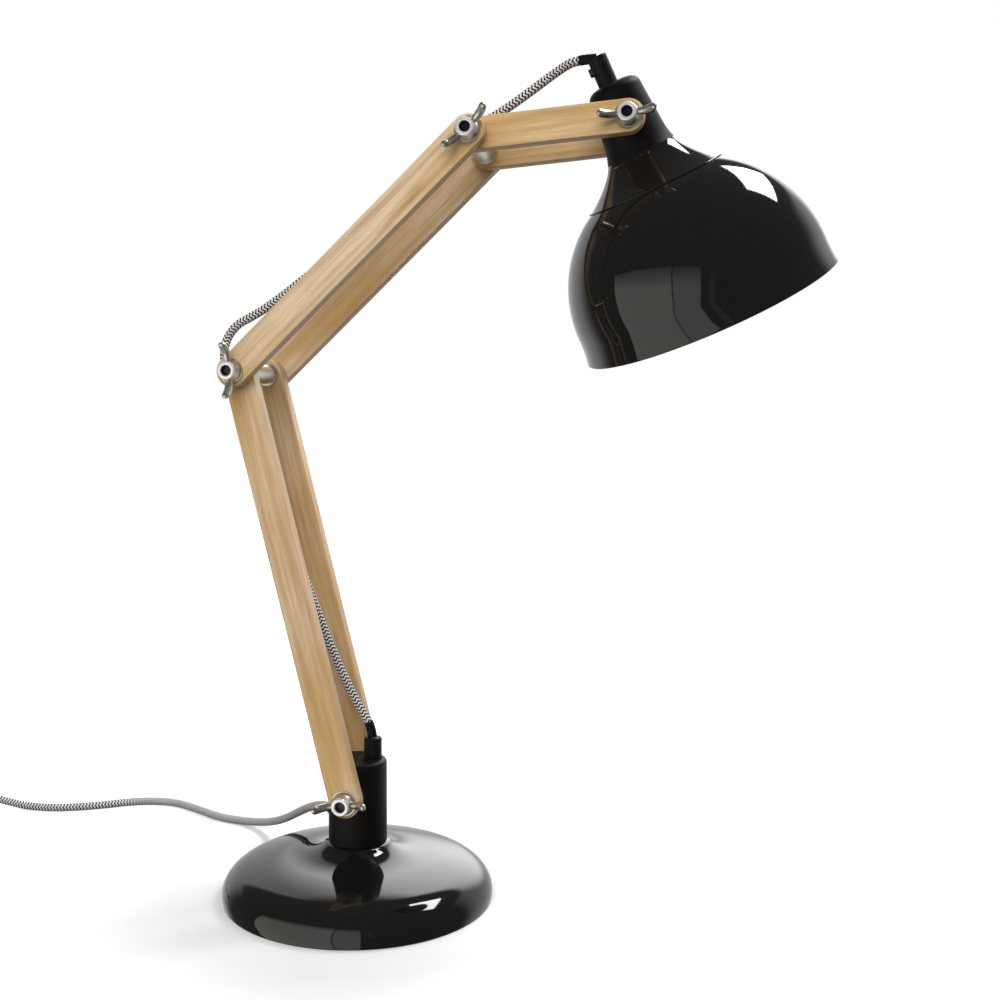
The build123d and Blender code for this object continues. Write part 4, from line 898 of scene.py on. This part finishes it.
@dataclass
class WingNut:
    """One cast wing nut: a flanged boss with a thick mouth ring, and two rounded wings."""

    name: str
    body: Body
    centre: Pair
    slat_face: float
    wing_angle: float
    washer_thickness: float = 1.6
    running_gap: float = 0.05
    height: float = 9.4
    flange_radius: float = 7.6
    waist: Pair = (6.2, 6.0)
    mouth_radius: float = 6.3
    mouth_hole: float = 3.5
    hole_radius: float = 4.08
    wing_reach: float = 19.3
    wing_height: tuple[float, float, float] = (2.7, 0.7, 0.5)
    wing_thickness: Pair = (1.75, 1.05)
    tip_start: float = 0.84
    boss_columns: int = 56
    wing_columns: int = 24

    def boss(self, seat: Vector, axis: Vector) -> Grid:
        """The boss's section: a rounded flange, a waist, a rounded mouth ring with a painted highlight, and
        the bore.
        """
        cone = joined(
            [(self.hole_radius, 0.0), (self.flange_radius - 0.5, 0.0)],
            circle_arc((self.flange_radius - 0.6, 0.6), 0.6, -90.0, 60.0, 7),
            bezier((7.2, 1.4), (6.6, 2.6), (self.waist[0], 4.4), self.waist, 9),
            bezier(self.waist, (6.25, 6.9), (self.mouth_radius, 7.4), (self.mouth_radius, 7.9), 5),
        )
        rim = joined(
            circle_arc((self.mouth_radius - 1.4, self.height - 1.45), 1.4, 5.0, 100.0, 10),
            circle_arc((self.mouth_hole + 0.9, self.height - 0.95), 0.9, 90.0, 180.0, 7),
            [(self.mouth_hole, self.height - 1.1), (self.hole_radius, self.height - 1.35)],
        )
        grid = Grid.turned(joined(cone, rim), seat, axis, self.boss_columns, closed=True)
        # From the mouth ring on, the faces take the second finish, a painted highlight.
        return grid.painted(len(cone))

    def wing(self, seat: Vector, axis: Vector, across: Vector) -> Grid:
        """One wing: ellipses across a Bezier that leaves the waist and rises away from the slat.

        The ellipse's half height shrinks evenly and swells in the middle, its half thickness grows by a
        sine towards the tip, and both fall to nought at the end as a quarter circle does.

        Args:
            seat: the nut's seat.
            axis: the direction away from the slat.
            across: the direction in which this wing points.

        Returns:
            The grid.
        """
        line = bezier((3.6, 3.9), (9.6, 3.6), (14.6, 5.6), (self.wing_reach - 1.5, 14.6), 30)
        tangent = unit_rows(np.gradient(line, axis=0))
        normal = np.stack([-tangent[:, 1], tangent[:, 0]], -1)
        t = np.linspace(0.0, 1.0, len(line))
        past = np.clip(t - self.tip_start, 0.0, None) / (1.0 - self.tip_start)
        tip = np.sqrt(np.clip(1.0 - past**2, 0.0, 1.0))
        root, loss, swell = self.wing_height
        half_height = (root - loss * t + swell * np.sin(np.pi * t)) * tip
        thin, gain = self.wing_thickness
        half_thickness = (thin + gain * np.sin(np.pi * np.clip(t * 0.72, 0.0, 0.6))) * tip
        a = round_turn(self.wing_columns)
        rise = line[:, None] + (half_height[:, None] * np.cos(a))[..., None] * normal[:, None]
        points = (
            np.array(seat)
            + rise[..., :1] * np.array(across)
            + rise[..., 1:] * np.array(axis)
            + (half_thickness[:, None] * np.sin(a))[..., None] * np.array(axis.cross(across))
        )
        start = np.repeat(points[:1].mean(1, keepdims=True), points.shape[1], 1)
        return Grid(np.concatenate([start, points]))

    def build(self) -> None:
        """Makes the nut's mesh in place of the CAD one."""
        axis = Vector((0, -1, 0))
        depth = self.slat_face + self.washer_thickness + self.running_gap
        seat = Vector((self.centre[0], -depth, self.centre[1]))
        a = math.radians(self.wing_angle)
        across = Vector((math.cos(a), 0, math.sin(a)))
        grids = [self.boss(seat, axis), self.wing(seat, axis, across), self.wing(seat, axis, -across)]
        nut = make_piece(f"{self.name}_cast", grids, [Look.CAST_ZINC, Look.PAINTED_RIM_HIGHLIGHT])
        place(nut, self.body, Slot.ZINC, self.name)


@dataclass
class Head:
    """The tilting head: socket cover, gland, neck, bowl, lampholder and bulb."""

    plan: Plan
    cover_end: float = 17.0
    flange_thickness: float = 1.4
    flange_radius: float = 18.4
    neck_radii: Pair = (23.7, 22.6)
    shade_top: float = 41.0
    shade_hole: float = 38.0
    shade_centre: float = 115.4
    shade_radius: float = 88.5
    rim_depth: float = 134.4
    rim_radius: float = 90.0
    rim_round: float = 0.6
    skirt_height: float = 6.0
    wall: float = 1.2
    cap_top: float = 22.5
    cap_radius: float = 12.6
    thread_pitch: float = 3.6
    thread_depth: float = 0.42
    thread_fade: float = 3.0
    holder_mouth: float = 47.0
    bulb_radius: float = 27.5
    bulb_centre: float = 79.0
    bowl_columns: int = 288
    neck_columns: int = 256
    bulb_columns: int = 96
    cap_columns: int = 72

    def sphere_line(self, radius: float, first: float, last: float, steps: int) -> np.ndarray:
        """Points on the bowl's circle: a radius is the root of R squared less the drop squared."""
        top, end = (math.degrees(math.asin((depth - self.shade_centre) / radius)) for depth in (first, last))
        return circle_arc((0.0, self.shade_centre), radius, top, end, steps)

    def turned(self, profile: np.ndarray, columns: int, closed: bool,
               swell: np.ndarray | float = 0.0) -> Grid:
        """Carries a profile round the head's own axis."""
        return Grid.turned(profile, self.plan.head_origin, self.plan.head_axis, columns, closed, swell)

    def bowl(self) -> Grid:
        """The shade's wall: the outer circle and skirt, a rounded rim, and the same line inside."""
        outer, inner, rim = self.shade_radius, self.shade_radius - self.wall, self.rim_radius
        widest, below = self.shade_centre, self.shade_centre + self.skirt_height
        edge, flared = self.rim_depth - self.rim_round, self.rim_depth - self.skirt_height
        outside = joined(
            self.sphere_line(outer, self.shade_top, widest, 90),
            bezier((outer, widest), (outer, below), (rim - self.wall, flared), (rim, edge), 18),
            circle_arc((rim - self.rim_round, edge), self.rim_round, 0.0, 90.0, 5),
        )
        inside = joined(
            circle_arc((rim - self.rim_round, edge), self.rim_round, 90.0, 180.0, 5),
            bezier((rim - self.wall, edge), (rim - 2 * self.wall, flared), (inner, below),
                   (inner, widest), 12),
            self.sphere_line(inner, widest, self.shade_top + self.wall, 50),
            [(self.shade_hole, self.shade_top + self.wall), (self.shade_hole, self.shade_top)],
        )
        return self.turned(joined(outside, inside), self.bowl_columns, True).painted(len(outside))

    def neck(self) -> Grid:
        """The neck's flared wall between the cover and the bowl, with a small rounded step at the seam."""
        seam = self.shade_top
        end = math.sqrt(self.shade_radius**2 - (self.shade_centre - seam) ** 2)
        top = self.cover_end + self.flange_thickness
        outer, inner = self.neck_radii
        profile = joined(
            bezier((outer, self.cover_end), (25.9, 23.6), (37.2, 34.4), (end + 0.02, seam - 0.8), 56),
            circle_arc((end - 0.2, seam - 0.4), 0.45, -50.0, 75.0, 6),
            [(end - 0.4, seam + 0.05), (end - 2.4, seam)],
            bezier((end - 2.4, seam), (36.2, 35.6), (24.6, 24.6), (inner, top), 24),
            [(self.flange_radius, top), (self.flange_radius, self.cover_end)],
        )
        return self.turned(profile, self.neck_columns, True)

    def bulb(self) -> Grid:
        """The bulb's glass: a neck, a Bezier shoulder and most of a circle, down to the pole."""
        mouth, radius, middle = self.holder_mouth, self.bulb_radius, self.bulb_centre
        profile = joined(
            [(0.0, mouth), (12.6, mouth)],
            bezier((13.1, mouth), (13.4, 56.0), (radius, 64.0), (radius, middle), 30),
            circle_arc((0.0, middle), radius, 0.0, 89.9, 30),
            [(0.0, middle + radius)],
        )
        return self.turned(profile, self.bulb_columns, False)

    def screw_cap(self) -> Grid:
        """The cap: its radius waves with depth and with the angle, so that the crest climbs as a thread."""
        top, a = self.cap_top, round_turn(self.cap_columns)
        depth = np.r_[top + 6.0, np.linspace(top + 7.0, self.holder_mouth - 1.0, 90), self.holder_mouth]
        fade = np.clip(np.minimum(depth - depth[0], depth[-1] - depth) / self.thread_fade, 0.0, 1.0)
        button = [(0.0, top), (4.5, top), (6.5, top + 2), (11.5, top + 4)]
        thread = np.stack([np.full(depth.size, self.cap_radius), depth], -1)
        profile = np.vstack([button, thread, [(0.0, self.holder_mouth)]])
        swell = np.zeros((len(profile), len(a)))
        phase = 2 * np.pi * depth[:, None] / self.thread_pitch - a[None]
        swell[len(button):-1] = self.thread_depth * np.cos(phase) * fade[:, None]
        return self.turned(profile, self.cap_columns, False, swell)

    def build(self, frame: dict[str, Any]) -> None:
        """Makes the enamelled and glass pieces and dresses the rest of the head.
        """
        for name, grid, looks, slot, node, sharp in (
            ("shade_bowl", self.bowl(), [Look.ENAMEL, Look.ENAMEL_INSIDE], Slot.GLOSS, "shade", SHARP),
            ("shade_neck_flare", self.neck(), [Look.ENAMEL], Slot.GLOSS, "shade_neck", SHARP),
            ("bulb_globe", self.bulb(), [Look.GLASS], Slot.GLASS, "bulb_glass", SHARP),
            ("bulb_screw_cap", self.screw_cap(), [Look.CAP_METAL], Slot.CAP, "bulb_cap", SHARP_FINE),
        ):
            place(make_piece(name, [grid], looks, sharp), Body.HEAD, slot, node)
        dress(frame, Look.MATTE.material, "socket_cover")
        dress(frame, Look.FITTING.material, "head_gland", "head_friction_washers")
        dress(frame, Look.BLACK_STEEL.material, "gland_screw", "shade_ring")
        dress(frame, Look.PLASTIC.material, "lampholder")
        dress(frame, Look.BRASS.material, "socket_contact")


@dataclass
class Cords:
    """The arm cord in four lengths, the mains cord to its switch, and the coiled lead to its plug."""

    plan: Plan
    radius: float = 3.1
    on_table: float = 3.15
    gland_place: Pair = (10.0, 4.0)
    side_gland_height: float = 52.5
    side_gland_bearing: float = 140.0
    side_gland_reach: float = 34.0
    side_gland_straight: Pair = (-6.0, 9.0)
    entry_height: float = 43.4
    entry_inset: float = 21.6
    switch_front: float = -368.0
    switch_back: float = -440.0
    switch_y: float = 120.0
    switch_axis: float = 8.5
    coil_centre: Pair = (-322.0, -20.0)
    coil_pitch: float = 6.7
    coil_radius: float = 40.8
    coil_turns: float = 4.5
    coil_start: float = 270.0
    climb_turns: float = 0.5
    points_per_turn: int = 16
    plug_tip: Point = (-384.0, 26.0, 7.0)
    spline_order: int = 3
    spline_steps: int = 32
    spacing: float = 1.2
    fewest_points: int = 8
    sides: int = 20
    sleeve_wall: float = 0.25
    sleeve_sides: int = 28
    stem_sleeve_heights: Pair = (110.0, 122.0)
    head_sleeve_length: float = 12.0

    def beside(self, arm: tuple[Pair, float], along: float, side: float, y: float) -> Point:
        """A cord point beside the centre line of an arm, which is given by its first joint and its angle."""
        x, z = self.plan.on_arm(*arm, along, side)
        return (x, y, z)

    @staticmethod
    def off(joint: Pair, dx: float, y: float, dz: float) -> Point:
        """A cord point measured from a joint."""
        return (joint[0] + dx, y, joint[1] + dz)

    @staticmethod
    def beyond(first: Point, second: Point, share: float) -> Point:
        """A point straight on past the second one, by a share of the distance between them."""
        return tuple(b + share * (b - a) for a, b in zip(first, second))

    @property
    def cord_end(self) -> Point:
        """Where the arm cord goes into the head's gland."""
        t, lean = math.radians(self.plan.head_tilt), math.radians(self.plan.head_lean)
        above = self.entry_height / math.cos(t) / math.cos(lean)
        middle = self.plan.head_origin - self.plan.head_axis * above
        x, z = self.plan.head_pivot
        return (x - self.entry_inset, middle.y, z + self.entry_height)

    def arm_routes(self) -> dict[str, list[Point]]:
        """The control points of the arm cord's four lengths, which meet in the middle of each arm."""
        gx, gy = self.gland_place
        one, two = self.plan.elbow_one, self.plan.elbow_two
        lower, upper = (self.plan.base_pivot, self.plan.lower_angle), (one, self.plan.upper_angle)
        lower_last, lower_meet = self.beside(lower, 164, -2.6, 0.5), self.beside(lower, 200, -5.2, 0.2)
        upper_last, upper_meet = self.beside(upper, 106, -15.5, 0.0), self.beside(upper, 136, -13.2, 0.0)
        head_last, head_meet = self.off(two, 27.5, -1.4, 28.8), self.off(two, 46.0, -3.2, 41.0)
        end = self.cord_end
        around_one = (
            (0.5, -41.0), (-11.0, -20.5), (-21.0, -1.0), (-24.4, 18.0), (-15.6, 34.0), (1.0, 41.6),
            (20.5, 54.0), (42.5, 70.6),
        )
        return {
            "arm_cord_base": [
                (gx, gy, 104.5), (gx, gy, 116.2), (1.0, 3.4, 130.8), (-9.0, 2.6, 149.4), (-18.6, 1.8, 170.8),
                (-29.4, 1.0, 197.6), lower_last, lower_meet,
            ],
            "arm_cord_elbow_one": [
                lower_meet, self.beyond(lower_last, lower_meet, 0.9),
                *[self.off(one, dx, 0.0, dz) for dx, dz in around_one], upper_last, upper_meet,
            ],
            "arm_cord_elbow_two": [
                upper_meet, self.beyond(upper_last, upper_meet, 0.95), self.beside(upper, 194, -11.6, 0.0),
                self.beside(upper, 222, -12.4, 0.0), self.off(two, 13.0, -0.3, 20.4), head_last, head_meet,
            ],
            "arm_cord_head": [
                head_meet, self.beyond(head_last, head_meet, 0.5), (end[0] - 13.5, end[1], end[2]), end,
            ],
        }

    def mains_route(self) -> list[Point]:
        """The mains cord's control points, from the side gland over the base and along the table."""
        bearing = math.radians(self.side_gland_bearing)
        reaches = [self.side_gland_reach + more for more in self.side_gland_straight]
        low = self.on_table
        return [
            *[(math.cos(bearing) * r, math.sin(bearing) * r, self.side_gland_height) for r in reaches],
            (-47.5, 42.0, 45.5), (-62, 58, 35.5), (-80, 80, 22.0), (-101, 104.0, 9.6), (-126, 120.0, low),
            (-153, 125.5, low), (-179, 142, low), (-208, 157, low), (-238, 153, low), (-265, 135, low),
            (-294, 121.5, low), (-322, 119.4, low + 0.1), (-340, self.switch_y, 5.4),
            (self.switch_front + 12, self.switch_y, self.switch_axis),
            (self.switch_front, self.switch_y, self.switch_axis),
        ]

    def coil_points(self) -> np.ndarray:
        """The coil's control points: the radius falls by a pitch a turn to mid-climb, then grows again.

        A spline of order 3 runs inside its control points by the cosine of half a step, so their radii
        are divided by it.
        """
        count = round(self.coil_turns * self.points_per_turn)
        turn = (np.arange(count) + 0.5) / self.points_per_turn
        inward = np.minimum(turn, self.coil_turns - turn)
        radius = (self.coil_radius - self.coil_pitch * inward) / math.cos(math.pi / self.points_per_turn)
        climbed = np.clip((turn - (self.coil_turns - self.climb_turns) / 2) / self.climb_turns, 0.0, 1.0)
        height = self.on_table + self.coil_pitch * (1 - np.cos(np.pi * climbed)) / 2
        a = np.radians(self.coil_start + 360.0 * turn)
        return np.stack([
            self.coil_centre[0] + radius * np.cos(a), self.coil_centre[1] + radius * np.sin(a), height
        ], -1)

    def lead_route(self) -> list[Point]:
        """The lead's control points: back from the switch to the coil, its turns, and on to the plug."""
        back, y, low = self.switch_back, self.switch_y, self.on_table
        cx, cy = self.coil_centre
        run_x = cx - 2 * self.radius
        end_y, end_z = cy + self.coil_radius, low + self.coil_pitch
        tip = self.plug_tip
        return [
            (back, y, self.switch_axis), (back - 12, y, self.switch_axis), (back - 29, y - 2, 5.2),
            (back - 47, y - 11, low), (back - 61, y - 32, low), (back - 65, y - 62, low),
            (back - 59, y - 93, low), (back - 43, y - 121, low), (back - 17, y - 144, low),
            (back + 15, y - 161, low), (-392, -54.5, low),
            (-360, cy - self.coil_radius, low), (run_x, cy - self.coil_radius, low),
            *[tuple(p) for p in self.coil_points()],
            (run_x, end_y, end_z), (run_x - 11.8, end_y, end_z), (run_x - 28, end_y + 2.2, 8.4),
            (tip[0] + 12, tip[1], tip[2]), tip,
        ]

    def spline_line(self, name: str, route: Sequence[Point]) -> np.ndarray:
        """Reads evenly spaced points off a NURBS spline that a route's control points pull.

        Args:
            name: the cord's name.
            route: the control points in millimetres.

        Returns:
            The points in millimetres.
        """
        curve = bpy.data.curves.new(f"{name}_route", "CURVE")
        curve.dimensions = "3D"
        curve.resolution_u = self.spline_steps
        spline = curve.splines.new("NURBS")
        spline.points.add(len(route) - 1)
        values = np.c_[np.array(route, float) * MM, np.ones(len(route))]
        spline.points.foreach_set("co", values.ravel())
        spline.order_u = self.spline_order
        spline.use_endpoint_u = True
        carrier = bpy.data.objects.new(f"{name}_route", curve)
        mesh = bpy.data.meshes.new_from_object(carrier)
        line = np.zeros(len(mesh.vertices) * 3)
        mesh.vertices.foreach_get("co", line)
        line = line.reshape(-1, 3) / MM
        bpy.data.meshes.remove(mesh)
        bpy.data.objects.remove(carrier)
        bpy.data.curves.remove(curve)
        run = np.r_[0.0, np.cumsum(gaps(line))]
        even = np.linspace(0.0, run[-1], max(int(run[-1] / self.spacing), self.fewest_points))
        return np.stack([np.interp(even, run, line[:, i]) for i in range(3)], -1)

    @staticmethod
    def length_of(line: np.ndarray) -> float:
        """A line's length in metres."""
        return float(gaps(line).sum() * MM)

    def braided(self, name: str, line: np.ndarray, reference: Point) -> bpy.types.Object:
        """A braided cord along a line, which never points in the reference's direction."""
        grid = Grid.tube(line, self.radius, reference, self.sides)
        return make_piece(name, [grid], [Look.BRAID], SHARP_FINE)

    def sleeve(self, name: str, line: np.ndarray, body: Body) -> bpy.types.Object:
        """A short black sleeve that grips the cord where it goes into a gland."""
        grid = Grid.tube(line, self.radius + self.sleeve_wall, ACROSS_ARMS, self.sleeve_sides)
        return place(make_piece(name, [grid], [Look.FITTING], SHARP_FINE), body, Slot.FITTINGS)

    def build_arm_cord(self) -> None:
        """Makes the four lengths, each running between the two bodies that it joins."""
        joints = {
            "arm_cord_base": (Body.BASE, Body.LOWER_ARM, 0.06, 0.9),
            "arm_cord_elbow_one": (Body.LOWER_ARM, Body.UPPER_ARM, 0.1, 0.86),
            "arm_cord_elbow_two": (Body.UPPER_ARM, Body.HEAD_ARM, 0.3, 0.9),
            "arm_cord_head": (Body.HEAD_ARM, Body.HEAD, 0.05, 0.8),
        }
        for name, route in self.arm_routes().items():
            line = self.spline_line(name, route)
            piece = self.braided(f"{name}_braid", line, ACROSS_ARMS)
            first, second, low, high = joints[name]
            if name == "arm_cord_base":
                bottom, top = self.stem_sleeve_heights
                run = line[(line[:, 2] > bottom) & (line[:, 2] < top)]
                self.sleeve("stem_cord_sleeve", run, first)
            if name == "arm_cord_head":
                run = line[-round(self.head_sleeve_length / self.spacing):]
                self.sleeve("head_cord_sleeve", run, second)
            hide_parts(name)
            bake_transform(piece)
            LOG.info("%s bends between %s and %s", piece.name, first.value, second.value)

    def build_mains(self, frame: dict[str, Any]) -> None:
        """Makes the mains cord and the coiled lead, and dresses the switch and the plug.
        """
        nodes = frame["nodes"]
        switch = ["switch_base", "switch_cover", "switch_rocker", "switch_screws", "switch_contacts"]
        plug = ["plug_body", "plug_pins"]
        lead = ["mains_cord_leads", "mains_coil"]
        for name, route, far_end, lay, with_nodes, replaced in (
            ("mains_cord_braid", self.mains_route(), "fitting", "loose", switch, ["mains_cord"]),
            ("mains_lead_braid", self.lead_route(), "plug", "coiled", plug, lead),
        ):
            line = self.spline_line(name, route)
            piece = self.braided(name, line, UP)
            place(piece, Body.BASE, Slot.CORD, *replaced)
            [nodes[n] for n in with_nodes]
        dress(frame, Look.PLASTIC.material, "switch_base", "switch_cover", "switch_rocker", "plug_body")
        dress(frame, Look.ZINC.material, "switch_screws", "plug_pins")
        dress(frame, Look.BRASS.material, "switch_contacts")


# Studio


@dataclass(frozen=True)
class SoftLight:
    """A rectangular lamp that faces a point."""

    name: str
    place: Point
    target: Point
    size: Pair
    power: float
    glossy: bool = True

    def build(self) -> None:
        """Adds the lamp, hidden from the camera, and from reflections if it is only a fill."""
        data = bpy.data.lights.new(self.name, "AREA")
        data.shape = "RECTANGLE"
        data.size, data.size_y = self.size
        data.energy = self.power
        lamp = linked(self.name, data)
        lamp.location = self.place
        lamp.rotation_euler = (Vector(self.target) - Vector(self.place)).to_track_quat("-Z", "Y").to_euler()
        lamp.visible_camera = False
        lamp.visible_glossy = self.glossy


@dataclass(frozen=True)
class WindowCard:
    """An upright glowing card that only mirror-like surfaces show, like a window beside the camera."""

    name: str
    left: Pair
    right: Pair
    heights: Pair
    level: float
    tone: Colour = (1.0, 0.95, 0.88)
    fade_height: float = 0.22
    faded_share: float = 0.3

    def build(self) -> None:
        """Adds the card, which fades towards its top."""
        bottom, top = self.heights
        material = bpy.data.materials.new(self.name)
        material.cycles.emission_sampling = "NONE"
        sheet = Nodes(material)
        height = sheet.add("SeparateXYZ", {0: sheet.add("TexCoord").outputs["Object"]}).outputs[2]
        strength = sheet.span(height, top - self.fade_height, top, self.level, self.faded_share * self.level)
        glow = sheet.add("Emission", {"Color": (*self.tone, 1.0), "Strength": strength})
        sheet.add("OutputMaterial", {"Surface": glow.outputs[0]})
        edges = [(*self.left, bottom), (*self.right, bottom), (*self.right, top), (*self.left, top)]
        card = make_panel(self.name, edges, material)
        card.visible_camera = card.visible_diffuse = card.visible_shadow = card.visible_transmission = False


@dataclass
class Studio:
    """A plain pale floor, soft light and the camera at the photograph's place."""

    focal_px: float = 1232.0
    centre_px: Pair = (439.0, 450.0)
    image_px: float = 1000.0
    sensor: float = 36.0
    pitch: float = -1.675
    yaw: float = 11.534
    camera_place: Point = (0.2283, -0.8325, 0.3383)
    clip: Pair = (0.01, 50.0)
    fill_level: float = 0.46
    floor_half: float = 8.0
    floor_reach: Pair = (0.13, 0.42)
    floor_glow: Pair = (0.06, 0.75)
    floor_tones: Pair = (0.14, 0.86)
    mirror_dim: float = 0.13
    mirror_rear: float = 0.75
    rear_from: Pair = (0.3, 0.65)
    mirror_peak: float = 2.9
    peak_direction: Point = (0.06, 0.87, 0.49)
    peak_from: Pair = (0.86, 0.99)
    left_edge: tuple[float, float, float, float] = (-0.7, -0.36, 0.3, 0.0)
    right_edge: tuple[float, float, float, float] = (0.0, 0.45, 0.0, 0.14)
    top_edge: Pair = (0.69, 0.78)
    sources: tuple[SoftLight | WindowCard, ...] = (
        SoftLight("key_softbox", (1.02, 0.66, 2.0), (0.1, 0.0, 0.25), (0.95, 0.62), 34.0),
        SoftLight("front_fill", (0.1, -2.0, 1.5), (0.05, 0.0, 0.3), (1.8, 1.4), 40.0, glossy=False),
        WindowCard("window_left", (-1.02, -0.34), (-0.055, -0.7), (-0.9, 0.56), 1.4),
        WindowCard("window_right", (-0.042, -0.706), (0.25, -0.81), (-0.9, 0.56), 1.15),
        WindowCard("window_far", (0.36, -0.85), (0.43, -0.87), (0.1, 0.6), 0.3),
    )

    def build_camera(self) -> None:
        """Places the camera: the focal length and the shifts are shares of the picture's width."""
        pitch, yaw = math.radians(self.pitch), math.radians(self.yaw)
        forward = Vector((-math.sin(yaw) * math.cos(pitch), math.cos(yaw) * math.cos(pitch), math.sin(pitch)))
        right = Vector((math.cos(yaw), math.sin(yaw), 0.0))
        axes = Matrix((right, right.cross(forward), -forward)).transposed()
        data = bpy.data.cameras.new("photo_camera")
        data.sensor_width = self.sensor
        data.lens = self.focal_px / self.image_px * self.sensor
        data.shift_x = (self.image_px / 2 - self.centre_px[0]) / self.image_px
        data.shift_y = (self.centre_px[1] - self.image_px / 2) / self.image_px
        data.clip_start, data.clip_end = self.clip
        camera = linked("photo_camera", data)
        camera.matrix_world = Matrix.Translation(self.camera_place) @ axes.to_4x4()
        bpy.context.scene.camera = camera

    def build_floor(self) -> None:
        """A wide pale floor just under the lamp, a little brighter to the camera so that it looks white."""
        material = bpy.data.materials.new("pale_floor")
        sheet = Nodes(material)
        seen = sheet.add("LightPath").outputs["Is Camera Ray"]
        away = sheet.add("VectorMath", {0: sheet.add("TexCoord").outputs["Object"]}, operation="LENGTH")
        strength = sheet.math(
            "MULTIPLY", seen, sheet.span(away.outputs["Value"], *self.floor_reach, *self.floor_glow)
        )
        diffuse = sheet.add("BsdfDiffuse", {"Color": sheet.span(seen, 0.0, 1.0, *self.floor_tones)})
        glow = sheet.add("Emission", {"Strength": strength})
        both = sheet.add("AddShader", {0: diffuse.outputs[0], 1: glow.outputs[0]})
        sheet.add("OutputMaterial", {"Surface": both.outputs[0]})
        half = self.floor_half
        edges = [(-half, -half, 0), (half, -half, 0), (half, half, 0), (-half, half, 0)]
        floor = make_panel("floor", edges, material)
        floor.visible_glossy = False

    def build_world(self) -> None:
        """White to the camera, an even fill to surfaces, and to gloss a white rear half and a dim front.

        The rear's white ends at a height, which is lower to the left and to the right.
        """
        world = bpy.data.worlds.new("studio")
        bpy.context.scene.world = world
        sheet = Nodes(world)
        coordinates = sheet.add("TexCoord").outputs["Generated"]
        x, y, z = sheet.add("SeparateXYZ", {0: coordinates}).outputs
        rear = sheet.span(y, *self.rear_from, 0.0, self.mirror_rear, True)
        towards = sheet.add("VectorMath", {0: coordinates, 1: self.peak_direction}, operation="DOT_PRODUCT")
        peak = sheet.span(towards.outputs["Value"], *self.peak_from, 0.0, self.mirror_peak, True)
        sides = sheet.math("ADD", sheet.span(x, *self.left_edge), sheet.span(x, *self.right_edge))
        low = sheet.span(sheet.math("ADD", z, sides), *self.top_edge, 1.0, 0.0, True)
        white = sheet.math("MULTIPLY", sheet.math("ADD", rear, peak), low)
        gloss = sheet.math("ADD", white, self.mirror_dim)
        path = sheet.add("LightPath").outputs
        mirrored = sheet.math("MAXIMUM", path["Is Glossy Ray"], path["Is Transmission Ray"])
        fill = sheet.add("Mix", {0: mirrored, 2: self.fill_level, 3: gloss}, data_type="FLOAT").outputs[0]
        level = sheet.add("Mix", {0: path["Is Camera Ray"], 2: fill, 3: 1.0}, data_type="FLOAT").outputs[0]
        background = sheet.add("Background", {"Color": (1.0, 1.0, 1.0, 1.0), "Strength": level})
        sheet.add("OutputWorld", {"Surface": background.outputs[0]})

    def build(self) -> None:
        """Builds the whole studio."""
        for source in self.sources:
            source.build()
        self.build_floor()
        self.build_world()
        self.build_camera()
        bpy.context.scene.view_settings.view_transform = "Standard"


def main() -> None:
    """Builds the studio with its camera and the cords first, then every sub-assembly."""
    logging.basicConfig(level=logging.INFO, format="%(name)s: %(message)s")
    for old in list(bpy.data.objects):
        bpy.data.objects.remove(old)
    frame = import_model()
    plan = Plan()
    Studio().build()
    cords = Cords(plan)
    cords.build_arm_cord()
    cords.build_mains(frame)
    Base().build(frame)
    Arms(plan).build(frame)
    for name, body, centre, face, angle in (
        ("base_wing_nut", Body.BASE_NUT, plan.base_pivot, plan.outer_face, 7.0),
        ("elbow_one_wing_nut", Body.ELBOW_ONE_NUT, plan.elbow_one, plan.upper_outer_face, 94.0),
        ("elbow_two_wing_nut", Body.ELBOW_TWO_NUT, plan.elbow_two, plan.upper_outer_face, 43.0),
        ("head_wing_nut", Body.HEAD_NUT, plan.head_pivot, plan.outer_face, 4.0),
    ):
        WingNut(name, body, centre, face, angle).build()
    Head(plan).build(frame)


if __name__ == "__main__":
    main()
